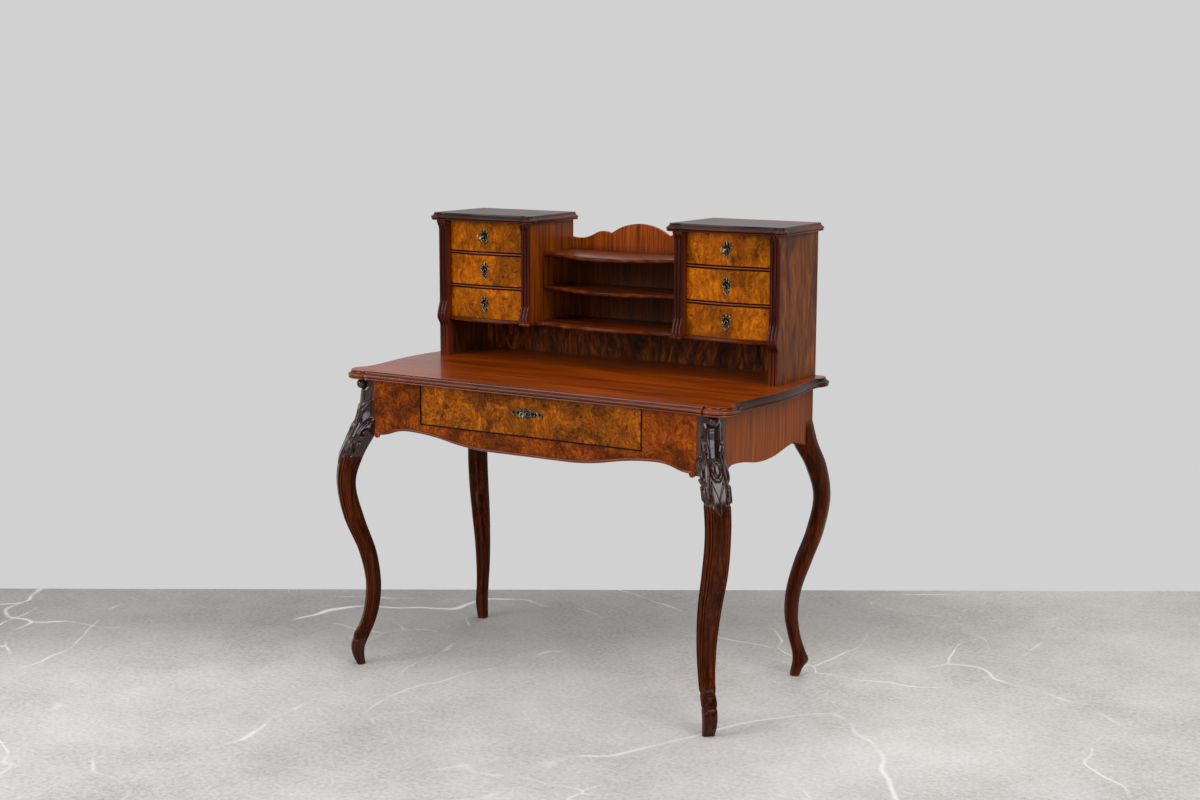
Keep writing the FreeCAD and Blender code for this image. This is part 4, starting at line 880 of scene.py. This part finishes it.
# half sections from the middle of the outer face round to the rear, as shares of half depth and half width
fluted = [(0.94, 0), (0.94, 0.2), (0.935, 0.4), (0.915, 0.56), (0.87, 0.70), (0.79, 0.81), (0.68, 0.885), (0.54, 0.935),
          (0.36, 0.97), (0.15, 0.99), (-0.1, 1.0)]
flutedRear = [(-0.4, 0.82), (-0.7, 0.62), (-0.92, 0.47), (-1.0, 0.38), (-1.0, 0.19)]
chamfered = [(1.0, 0), (1.0, 0.13), (0.98, 0.22), (0.62, 0.60), (0.26, 0.95), (0.16, 0.995), (-0.1, 1.0), (-0.22, 0.985),
             (-0.32, 0.94), (-0.65, 0.64), (-0.95, 0.36), (-1.0, 0.26), (-1.0, 0.13)]
# outer face of the knee where it climbs the canted corner: height and reach
kneeLine = [(600, 54), (616, 46), (632, 37.5), (652, 30), (672, 25), (692, 21), (708, 19), (716, 17.5), (722, 14),
            (728, 9), (748, 8)]
bracket = {"section": [(0, 0), (-0.6, 10), (-2.2, 16), (-6, 19.5)], "quirk": (2, 21.5),
           "rear": [(-20, 32), (-27, 25), (-34, 18), (-40, 11), (-42, 5)]}

# carving on one half of the knee, as distance round from the middle and height; edge is how far in a leaf rounds over
leaves = [
    {"outline": [(20, 584), (17.5, 604), (14.6, 618), (14.4, 634), (11, 646), (9, 656), (9.5, 668), (13, 680), (20, 690),
                 (29, 696), (38, 698), (43, 694), (41, 686), (34, 676), (28, 666), (23.5, 655), (21.5, 643), (21.8, 622),
                 (24, 604), (26, 588)], "rise": 5.5, "edge": 3.4},  # stem and the leaf that turns out of it
    {"outline": [(14, 606), (9.5, 592), (4.5, 578), (-0.5, 562), (-0.5, 528), (5, 536), (11, 546), (15.5, 557),
                 (17.5, 572), (17, 592)], "rise": 3.8, "edge": 2.6},  # tongue
    {"outline": [(24, 600), (20.5, 584), (19.5, 568), (22, 558), (29, 553), (38, 552), (44, 557), (44.5, 568), (40, 582),
                 (33, 594)], "rise": 5.4, "edge": 5.0},  # gouged lobe
    {"outline": [(45, 590), (45.5, 574), (47.5, 560), (54, 553), (62, 555), (68, 564), (68, 580), (60, 590)],
     "rise": 4.6, "edge": 5.0},
]
cuts = [  # gouge lines: points, half width, depth
    {"line": [(41, 692), (33, 681), (26, 669), (21.5, 658)], "wide": 1.1, "deep": 1.8},
    {"line": [(40, 696), (30, 687), (21, 674), (16.5, 662)], "wide": 1.1, "deep": 1.8},
    {"line": [(35, 697), (25, 691), (17, 681)], "wide": 1.1, "deep": 1.6},
    {"line": [(27.5, 597), (25.5, 578), (27, 555)], "wide": 1.8, "deep": 2.6},
    {"line": [(33, 592), (33.5, 574), (35, 554)], "wide": 1.8, "deep": 2.6},
    {"line": [(53, 588), (55, 556)], "wide": 2.0, "deep": 2.4},
    {"line": [(60, 588), (62, 560)], "wide": 1.8, "deep": 2.0},
]
keel = {"from": 642.0, "to": 726.0, "fade": (8, 6), "low": 8.0, "high": 17.5, "slope": 0.29}  # sharp-backed blade
scroll = {"s": 51.0, "z": 619.0, "wide": 22.5, "tall": 31.0, "rise": 7.5, "rounding": 0.45, "eye": (53.0, 613.0),
          "pit": (8.2, 2.0), "pitDeep": 8.0, "button": (4.6, 7.6), "buttonDeep": 3.0}
# oval boss: its rings are (place, width) in shares of its size
cabochon = {"z": 626.0, "wide": 12.2, "tall": 20.0, "base": 1.2, "rise": 8.0, "groove": (0.84, 0.06), "grooveDeep": 2.6,
            "rim": (1.06, 0.08), "rimHigh": 5.0, "quirk": (1.19, 0.04), "quirkDeep": 1.5, "blend": (1.17, 1.3)}
foot = {"toe": 68.0, "bud": 83.0, "notch": 98.0}
knee = {"ground": -1.5, "from": 544.0, "to": 726.0, "fade": (12, 16)}
# ups and downs across a reeded leg: share of the half section, width and rise
reeding = [(0.365, 0.018, -2.2), (0.435, 0.034, 1.3), (0.51, 0.018, -2.0), (0.585, 0.034, 1.3), (0.66, 0.02, -2.0),
           (0.82, 0.06, -1.3), (0.93, 0.035, 1.2)]
# ups and downs at the foot: height and its width, distance round and its width, rise
toeCarving = [(foot["bud"], 8.0, 0, 8.0, 2.6), (foot["bud"] - 3, 7.0, 17, 5.0, 1.2), (foot["notch"], 2.6, 0, 1e9, -1.8),
              (foot["toe"], 3.0, 0, 1e9, -1.2)]


def stationAt(stations, z):  # smooth curve through the stations
    last = len(stations) - 1
    i = next((k for k in range(last) if z <= stations[k + 1][0]), last - 1)

    def slope(k):
        before, after = stations[max(k - 1, 0)], stations[min(k + 1, last)]
        return [(b - a) / (after[0] - before[0]) for a, b in zip(before, after)]

    span = stations[i + 1][0] - stations[i][0]
    t = min(1.0, (z - stations[i][0]) / span)
    return [(2 * t ** 3 - 3 * t ** 2 + 1) * a + (t ** 3 - 2 * t ** 2 + t) * span * p
            + (3 * t ** 2 - 2 * t ** 3) * b + (t ** 3 - t ** 2) * span * q
            for a, b, p, q in zip(stations[i], stations[i + 1], slope(i), slope(i + 1))]


def softStep(a, b, x):
    t = min(1.0, max(0.0, (x - a) / (b - a)))
    return t * t * (3 - 2 * t)


def bump(x, middle, width):
    return math.exp(-((x - middle) / width) ** 2)


def within(shape, z):  # 1 between its two heights, fading out towards them
    low, high, (fadeIn, fadeOut) = shape["from"], shape["to"], shape["fade"]
    return softStep(low, low + fadeIn, z) * (1 - softStep(high - fadeOut, high, z))


def evenPoints(line, count):  # count + 1 points at equal steps along a broken line, and its length
    lengths = [math.dist(a, b) for a, b in zip(line, line[1:])]
    total, points, i, run = sum(lengths), [], 0, 0.0
    for k in range(count + 1):
        goal = total * k / count
        while i < len(lengths) - 1 and run + lengths[i] < goal:
            run += lengths[i]
            i += 1
        share = (goal - run) / lengths[i]
        points.append(tuple(a + (b - a) * share for a, b in zip(line[i], line[i + 1])))
    return points, total


def between(line, other, share):
    return [(a + (c - a) * share, b + (d - b) * share) for (a, b), (c, d) in zip(line, other)]


def nearest(line, s, z, closed=False):  # distance to a broken line; inside a closed one it is positive, outside negative
    best, inside = 1e9, False
    for (sa, za), (sb, zb) in zip(line, line[1:] + line[:1] if closed else line[1:]):
        ds, dz = sb - sa, zb - za
        t = min(1.0, max(0.0, ((s - sa) * ds + (z - za) * dz) / (ds * ds + dz * dz)))
        best = min(best, math.hypot(s - sa - ds * t, z - za - dz * t))
        if closed and (za > z) != (zb > z) and s < sa + ds * (z - za) / dz:
            inside = not inside
    return -best if closed and not inside else best


def spans(line, z, margin=0):
    heights = [point[1] for point in line]
    return min(heights) - margin < z < max(heights) + margin


def carvedRise(s, z):  # how far the carving stands out of the knee; the ground round it is cut back
    rise = ground = knee["ground"] * within(knee, z)
    for leaf in leaves:
        depth = nearest(leaf["outline"], s, z, True) if spans(leaf["outline"], z) else 0
        if depth > 0:
            share = min(1.0, depth / leaf["edge"])
            rise = max(rise, ground + (leaf["rise"] - ground) * share * (2 - share))
    for cut in cuts:
        away = nearest(cut["line"], s, z) / cut["wide"] if spans(cut["line"], z, 3) else 9
        if away < 1.8:
            rise -= cut["deep"] * math.exp(-away ** 2)
    if keel["from"] < z < keel["to"]:
        wide = keel["low"] + (keel["high"] - keel["low"]) * (z - keel["from"]) / (keel["to"] - keel["from"])
        if s < wide:
            rise = max(rise, ground + keel["slope"] * (wide - s) * within(keel, z))
    q = math.hypot((s - scroll["s"]) / scroll["wide"], (z - scroll["z"]) / scroll["tall"])
    if q < 1.0:
        away = math.dist((s, z), scroll["eye"])
        share = min(1.0, (1 - q) / scroll["rounding"])
        rise = max(rise, ground + scroll["rise"] * share * (2 - share))
        rise -= scroll["pitDeep"] * bump(away, *scroll["pit"])
        rise -= scroll["buttonDeep"] * (1 - softStep(*scroll["button"], away))
    q = math.hypot(s / cabochon["wide"], (z - cabochon["z"]) / cabochon["tall"])
    if q < 1.0:
        rise = cabochon["base"] + cabochon["rise"] * (1 - q ** 2) ** 0.5
        rise -= cabochon["grooveDeep"] * bump(q, *cabochon["groove"])
    elif q < cabochon["blend"][1]:
        away = softStep(*cabochon["blend"], q)
        rise = rise * away + ground * (1 - away) - cabochon["quirkDeep"] * bump(q, *cabochon["quirk"])
        rise = max(rise, cabochon["rimHigh"] * bump(q, *cabochon["rim"]))
    return rise


def frontLegHalf(z):
    columns, cantHalf = legs["columns"], legs["cantHalf"]
    _, reach, depth, width = stationAt(legs["front"], z)
    skin, size = evenPoints([(reach + o * depth / 2, c * width / 2) for o, c in fluted], columns)
    rear = [(reach + o * depth / 2, c * width / 2) for o, c in flutedRear]
    if z > legs["kneeFrom"]:  # the knee runs into a bracket on the canted corner of the post
        drop, face, cant = legs["strip"] * math.sqrt(0.5), blendAt(kneeLine, z), legs["cantDepth"]
        section = [(face + out, across) for out, across in bracket["section"]]
        up, across = bracket["quirk"]
        section += [(cant + up, across), (cant, cantHalf), (cant - drop, cantHalf + drop)]
        post, length = evenPoints(section, columns)
        share = softStep(*legs["bracketOn"], z)
        skin, rear = between(skin, post, share), between(rear, bracket["rear"], share)
        size += (length - size) * share
    reeds = softStep(*legs["reedsOn"], z) * (1 - softStep(*legs["reedsOff"], z))
    carving, beside = softStep(*legs["carvingOn"], z), softStep(*legs["besideOn"], z)
    half, (sunk, sunkHalf), (beneath, fullness) = [], legs["hollow"], legs["besideReeds"]
    for i, (out, across) in enumerate(skin):
        u, s, rise = i / columns, size * i / columns, 0.0
        if reeds:
            hollow = sunk * max(0.0, 1 - (u / sunkHalf) ** 2)
            rise += reeds * (hollow + sum(up * bump(u, middle, wide) for middle, wide, up in reeding))
        if carving:
            rise += carving * carvedRise(s, z)
        if z < legs["budBelow"]:  # a bud above the toe, under the notch where the reeds end
            rise += sum(up * bump(z, height, tall) * bump(s, side, wide)
                        for height, tall, side, wide, up in toeCarving)
        if beside and across > cantHalf and rise < legs["besideBelow"]:  # reeds beside the bracket
            turns = (across - cantHalf) / legs["strip"] * legs["reeds"] / math.sqrt(0.5)
            rise += beside * beneath * (1 - abs(math.sin(math.pi * turns)) ** fullness)
        before, after = skin[max(i - 1, 0)], skin[min(i + 1, columns)]
        normal = Vector((after[1] - before[1], before[0] - after[0])).normalized() if i else Vector((1, 0))
        half.append((out + normal.x * rise, across + normal.y * rise))
    return half + rear


def makeFrontLegs():
    d = math.sqrt(0.5)
    x0, y0 = legs["frontPlace"]
    rows = legs["toeLevels"] + [start + step * k for start, step, count in legs["levels"] for k in range(count)]
    rings = []
    for z in rows + [legs["top"]]:
        half, shift = frontLegHalf(min(z, legs["lastSection"])), blendAt(legs["sideways"], z)
        whole = half + [(out, -across) for out, across in reversed(half[1:])]
        rings.append([(x0 + d * (out + across + shift), y0 - d * (out - across - shift), z) for out, across in whole])
    # the square post behind the carving, and the apron's veneer that runs on over its edge
    inner, rear, back = legs["half"] - legs["post"], frontFace + legs["post"], legs["behindCarving"]
    half, front, cant = legs["half"] - back, frontFace + back, legs["cant"] + back
    outline = [(inner, front), (half - cant, front), (half, front + cant), (half, rear), (inner, rear)]
    veneer = legs["veneer"]
    end, face, behind = half - cant - veneer["short"], frontFace + veneer["face"], front + veneer["deep"]
    plan = [(inner, face), (end, face), (end, behind), (inner, behind)]
    veneer = board(plan, legs["bottom"] + veneer["up"], legs["top"])
    whole = together(layUp(rings), board(outline, legs["bottom"], legs["top"]), tinted(veneer, 2))
    finishes = "legPolish carvedPolish apronBurr legPanelPolish stilePolish"
    pair = newPair("carvedLeg_front_*", whole, finishes, "leg_front_*", 55)

    def pick(face):
        x, y, z = face.center * perMetre
        _, reach, _, width = stationAt(legs["front"], z)
        aside, out = (abs(x) - x0 + y - y0) * d, (abs(x) - x0 - y + y0) * d
        across = abs(aside - blendAt(legs["sideways"], z))
        if face.material_index:
            return face.material_index
        leaf = (z - legs["leafTip"]) * legs["leafSlope"] + legs["leafHalf"]
        if z > legs["allCarved"] or abs(aside) < leaf:
            return 1
        if z < foot["toe"] + legs["collar"]:
            return 4
        return 3 if z > foot["notch"] and across < width * legs["flatShare"] and out > reach else 0

    for piece in pair:
        chooseFinish(piece, pick)
    print("front legs carved,", len(pair[0].data.polygons), "faces each")


def makeBackLegs():
    d = math.sqrt(0.5)
    x0, y0 = legs["backPlace"]
    rings, steps = [], legs["backLevels"]
    for k in range(steps + 1):
        z = legs["backTop"] * k / steps
        _, reach, depth, width = stationAt(legs["back"], z)
        half = [(reach + o * depth / 2, c * width / 2) for o, c in chamfered]
        whole = half + [(out, -across) for out, across in reversed(half[1:])]
        rings.append([(x0 + d * (out - across), y0 + d * (out + across), z) for out, across in whole])
    inner, half, back, cant = legs["half"] - legs["post"], legs["half"], frontFace + legs["rear"], legs["backCant"]
    front = back - legs["post"]
    outline = [(inner, front), (half, front), (half, back - cant), (half - cant, back), (inner, back)]
    whole = together(layUp(rings), board(outline, legs["bottom"], legs["top"]))
    newPair("cabrioleLeg_back_*", whole, "legPolish", "leg_back_*", 35, 0.5)
    print("back legs shaped")


# plain boards: the solids as they are, with worn arrises

plainBoards = {
    "apron_front": "apronBurr", "apron_left": "sideApronPolish", "apron_right": "sideApronPolish",
    "apron_back": "backBoardWax", "back_panel": "flamePolish backBoardWax",
    "side_outer_left": "sidePanelPolish stilePolish", "side_outer_right": "sidePanelPolish stilePolish",
    "side_inner_left": "innerSidePolish stilePolish", "side_inner_right": "innerSidePolish stilePolish",
    "cabinet_backs": "backBoardWax", "gallery_board": "galleryPolish backBoardWax",
    "desk_drawer_runners": "drawerLiningWide", "desk_drawer_front": "longDrawerBurr darkStain",
    "desk_drawer_cockbead": "darkStain", "desk_drawer_box": "drawerLiningWide",
}
sideEdge = {"deep": 21, "outerFace": 500}  # how far back the stained front edge goes; the outer face stays as it is


def makePlainBoards():
    for node, finishes in plainBoards.items():
        piece = softenNode(node, finishes, 0.5)
        if node.startswith("side_"):  # the thickened front edges are stained like the stiles on them
            edge = (low(node).y + sideEdge["deep"]) / perMetre
            outer = sideEdge["outerFace"] / perMetre if "outer" in node else math.inf

            def pick(face):
                outside = abs(face.normal.x) > 0.9 and abs(face.center.x) > outer
                return 1 if face.center.y < edge and not outside else 0

            chooseFinish(piece, pick)
        elif node in ("back_panel", "gallery_board"):  # polished in front, only waxed behind
            chooseFinish(piece, lambda face: 1 if face.normal.y > 0.9 else 0)
    for row in ("lower", "middle", "upper"):
        for side in ("left", "right"):
            name = "drawer_" + row + "_" + side
            softenNode(name + "_front", "smallDrawerBurr_" + row + " darkStain", 0.8)
            softenNode(name + "_box", "drawerLining", 0.4)
    print("boards softened")


# locks, keys and the cast plates round their keyholes

keyPlates = {  # across and up from the keyhole; strands also have a half width
    "small": {  # upright cartouche; one half of it
        "drop": 18.0, "thick": 0.9, "ups": (1,), "size": (1.28, 1.2),
        "outline": [(0, 18), (2.6, 16.4), (5.6, 14.6), (8.0, 11.6), (7.4, 8.6), (9.6, 6.4), (10, 2.4), (8.6, -1.6),
                    (5.8, -4.4), (5.2, -7), (6.4, -9.6), (5.6, -12.6), (3.0, -14.6), (1.4, -16.6), (0, -18)],
        "strands": [[(0, 9, 1.3), (0.2, 13, 1.7), (0, 18, 0.5)],
                    [(2.2, 15.6, 0.6), (5.6, 13.9, 1.1), (7.3, 10.8, 1.2), (5.4, 8.6, 1.1), (3.9, 10.2, 1.0),
                     (4.6, 11.6, 0.8)],
                    [(4.4, 6.2, 0.7), (8.4, 6.0, 1.2), (9.2, 2.2, 1.4), (7.2, -2.2, 1.3), (4.6, -3.4, 1.1),
                     (5.2, -1.2, 0.9)],
                    [(4.0, -5.6, 0.7), (5.9, -9.6, 1.2), (4.4, -13.0, 1.2), (1.6, -15.2, 1.0), (0, -18, 0.5)],
                    [(0, -9.2, 0.8), (2.0, -10.4, 0.9), (1.9, -12.6, 0.9), (0, -13.6, 0.8)]],
    },
    "long": {  # lying cartouche with two loops at each end; a quarter of it
        "drop": 13.0, "thick": 0.9, "ups": (1, -1), "size": (1.0, 1.0),
        "outline": [(0, 13), (5.5, 11.8), (9.8, 8.6), (13.2, 5.4), (16.8, 8.2), (21.5, 9.6), (26.6, 7.6), (30.4, 3.6),
                    (34.4, 5.4), (39, 5.6), (43, 3.4), (50, 0)],
        "strands": [[(0, 12.2, 0.8), (5.0, 11.0, 1.3), (8.8, 7.4, 1.5), (9.6, 2.6, 1.4), (7.6, 0, 1.0)],
                    [(0, 8.4, 1.3), (3.6, 8.0, 1.1), (5.4, 5.6, 0.9)],
                    [(9.4, 0, 0.8), (12.4, 3.4, 1.2), (16.6, 7.0, 1.4), (21.6, 8.6, 1.5), (26.4, 6.2, 1.4),
                     (29.8, 2.2, 1.2), (31.4, 0, 1.0)],
                    [(15.0, 2.8, 0.6), (18.4, 5.0, 1.0), (22.4, 4.0, 1.1), (21.6, 1.6, 0.9)],
                    [(31.4, 0, 1.0), (34.2, 3.6, 1.1), (38.6, 4.6, 1.2), (42.0, 2.4, 1.1), (45, 0.8, 1.0), (50, 0, 0.5)]],
    },
}
keyhole = [(3.4 * math.sin(math.radians(a)), 3.4 * math.cos(math.radians(a))) for a in range(-146, 147, 20)]
keyhole += [(1.9, -6.8), (-1.9, -6.8)]
# how far from its middle the keyhole's walls are painted black as shade
keyholeShadeReach = 8.5
# behind the front of the solid: back of the plate, and where the shells of the case start
plateGap = {"under": 0.3, "case": 1.5}
wireSection = [(-1, -0.5), (-0.9, 0.35), (-0.4, 0.95), (0.4, 0.95), (0.9, 0.35), (1, -0.5)]  # in half widths
screw = {"angles": range(12, 169, 13), "radius": 2.2, "slot": 0.35, "rings": [(1, -0.3), (1, 0.3), (0.8, 0.75)],
         "apart": 14, "lower": 8, "upper": 5}
swell = {"strand": 1.1, "rim": (1.28, 1.18), "rimHalf": 0.8}  # scrolls beside their drawing, rim beside its keyhole
keyShape = {
    "bow": 7.0, "bowTall": 7.6, "wire": 1.5, "stouter": 0.18, "rounds": {"shaft": 18, "bow": 32, "wire": 10},
    "standOff": 24.0, "bitHalf": 1.5,
    # radius at each place behind the bow, then at places before the back of the lock
    "shaft": [(-0.2, 1.2), (0.6, 2.4), (1.6, 3.3), (2.8, 3.3), (3.8, 2.4), (4.6, 2.0), (7.5, 2.1), (8.0, 2.9), (8.8, 3.2),
              (9.6, 2.9), (10.1, 2.25)],
    "tip": [(-1.1, 2.25), (-0.5, 1.7)],
    "ward": [(-6.3, 0), (-6.3, -6), (-5.0, -6), (-5.0, -4.4), (-4.0, -4.4), (-4.0, -6), (-2.7, -6), (-2.7, 0)],
}
boltShape = {"notch": (3.4, 2.4, 1.0), "chamfer": 1.4}


def curved(points, steps):  # a smooth line through the points
    ends = [points[0]] + points + [points[-1]]
    line = []
    for a, b, c, d in zip(ends, ends[1:], ends[2:], ends[3:]):
        for t in [k / steps for k in range(steps)]:
            line.append([0.5 * (2 * q + (r - p) * t + (2 * p - 5 * q + 4 * r - s) * t ** 2
                                + (3 * q - p - 3 * r + s) * t ** 3) for p, q, r, s in zip(a, b, c, d)])
    return line + [list(points[-1])]


def strand(points, place):  # a raised scroll on the plate's face
    line = curved(points, 5)
    rings = []
    for i, (across, up, half) in enumerate(line):
        (xa, za), (xb, zb) = line[max(i - 1, 0)][:2], line[min(i + 1, len(line) - 1)][:2]
        side = Vector((zb - za, xa - xb)).normalized() * half
        rings.append([(place.x + across + side.x * c, place.y - half * h, place.z + up + side.y * c)
                      for c, h in wireSection])
    return tinted(layUp(rings), 2)


def plateShape(kind, place):  # pierced plate with its scrolls; place is the keyhole on the plate's front
    plate = keyPlates[kind]
    (wide, tall), half = plate["size"], plate["outline"]
    if kind == "long":
        half = half + [(across, -up) for across, up in reversed(half[:-1])]
    outline = half + [(-across, up) for across, up in reversed(half[1:-1])]
    bm = bmesh.new()
    for loop in ([(across * wide, up * tall) for across, up in outline], keyhole):
        ring = [bm.verts.new((place.x + across, place.y, place.z + up)) for across, up in loop]
        for pair in zip(ring, ring[1:] + ring[:1]):
            bm.edges.new(pair)
    bmesh.ops.triangle_fill(bm, use_beauty=True, edges=bm.edges[:])
    made = bmesh.ops.extrude_face_region(bm, geom=bm.faces[:])["geom"]
    verts = [g for g in made if isinstance(g, bmesh.types.BMVert)]
    bmesh.ops.translate(bm, vec=(0, plate["thick"], 0), verts=verts)
    bmesh.ops.recalc_face_normals(bm, faces=bm.faces)
    # the plate's ground takes the nearly black finish: tarnish, and painted shade in place of open fretwork
    shapes = [tinted(bm, 1)]
    for side in (wide, -wide):
        for up in plate["ups"]:
            shapes += [strand([(x * side, z * up * tall, half * swell["strand"]) for x, z, half in line], place)
                       for line in plate["strands"]]
    (wide, tall), half = swell["rim"], swell["rimHalf"]
    rim = [(x * wide, z * tall, half) for x, z in keyhole]
    return together(*shapes, strand(rim + rim[:1], place))


def screwHead(x, y, z):  # slotted head of a small wood screw, seen from behind
    angles, halves = [math.radians(a) for a in screw["angles"]], []
    outline = [(screw["radius"] * math.cos(a), screw["radius"] * math.sin(a)) for a in angles]
    for side in (1, -1):
        rings = [[(x + p * share, y + deep, z + side * max(screw["slot"], q * share)) for p, q in outline]
                 for share, deep in screw["rings"]]
        halves.append(tinted(layUp(rings), 2))
    return together(*halves)


def keyPlace(lock, kind):  # middle, front, back and height of a keyhole
    return (low(lock).x + high(lock).x) / 2, low(lock).y, high(lock).y, low(lock).z + keyPlates[kind]["drop"]


def makeLock(node, kind):
    x, front, back, z = keyPlace(node, kind)
    case = nodeShape(node, lambda middle: middle.y > front + plateGap["case"])
    shapes = [tinted(case, 0), plateShape(kind, Vector((x, front + plateGap["under"], z)))]
    for side in (-screw["apart"], screw["apart"]):
        shapes += [screwHead(x + side, back, height) for height in (z - screw["lower"], high(node).z - screw["upper"])]
    newPiece(node + "_casting", together(*shapes), "lockBrass tarnishedBrass rubbedBrass", [node], 38)
    shadedHoleMiddle, reach = Vector((x, z)) / perMetre, keyholeShadeReach / perMetre

    def pick(face):  # painted shade: the walls inside the keyhole take the black finish
        return 1 if abs(face.normal.y) < 0.5 and (face.center.xz - shadedHoleMiddle).length < reach else 0

    chooseFinish(bpy.data.objects[node.replace("_lock", "_front_wood")], pick)


def makeKey(node, lock, kind):
    x, front, back, z = keyPlace(lock, kind)
    bow = front - keyShape["standOff"]
    rounds, profile = keyShape["rounds"], [(bow + keyShape["bow"] + y, r) for y, r in keyShape["shaft"]]
    profile += [(back + y, r) for y, r in keyShape["tip"]]
    angles = circle(rounds["shaft"])
    shaft = layUp([[(x + r * math.cos(a), y, z + r * math.sin(a)) for a in angles] for y, r in profile])
    rings = []
    for a in circle(rounds["bow"]):
        wire = keyShape["wire"] * (1 + keyShape["stouter"] * math.cos(a))  # stouter where it meets the shaft
        rings.append([(x + wire * math.sin(b), bow + (keyShape["bow"] + wire * math.cos(b)) * math.cos(a),
                       z + (keyShape["bowTall"] + wire * math.cos(b)) * math.sin(a)) for b in circle(rounds["wire"])])
    bit = layUp([[(x + side, back + y, z + up) for y, up in keyShape["ward"]]
                 for side in (-keyShape["bitHalf"], keyShape["bitHalf"])])
    newPiece(node + "_forged", together(shaft, layUp(rings, joined=True), bit), "keySteel", [node], 40)


def makeBolt(node):
    (x0, y0, z0), (x1, y1, z1) = low(node), high(node)
    middle, (wide, narrow, deep), chamfer = (x0 + x1) / 2, boltShape["notch"], boltShape["chamfer"]
    outline = [(x0, z0), (middle - wide, z0), (middle - narrow, z0 + deep), (middle + narrow, z0 + deep),
               (middle + wide, z0), (x1, z0), (x1, z1 - chamfer), (x1 - chamfer, z1), (x0 + chamfer, z1),
               (x0, z1 - chamfer)]  # the key's bit lifts it at the notch
    bolt = layUp([[(x, y, z) for x, z in outline] for y in (y0, y1)])
    newPiece(node + "_filed", bolt, "keySteel", [node], 35, 0.35)


def makeLocks():
    for row in ("lower", "middle", "upper"):
        for side in ("left", "right"):
            makeLock("drawer_" + row + "_" + side + "_lock", "small")
    makeLock("desk_drawer_lock", "long")
    for drawer, kind in (("desk_drawer", "long"), ("drawer_upper_left", "small"), ("drawer_upper_right", "small")):
        makeBolt(drawer + "_bolt")
        makeKey(drawer + "_key", drawer + "_lock", kind)
    print("locks, keys and plates made")


makeDeskTop()
makeCornices()
makeStiles()
makeMiddleBoard()
makeShelves()
makeDustBoards()
makeApronBead()
makeBalls()
makeFrontLegs()
makeBackLegs()
makePlainBoards()
makeLocks()
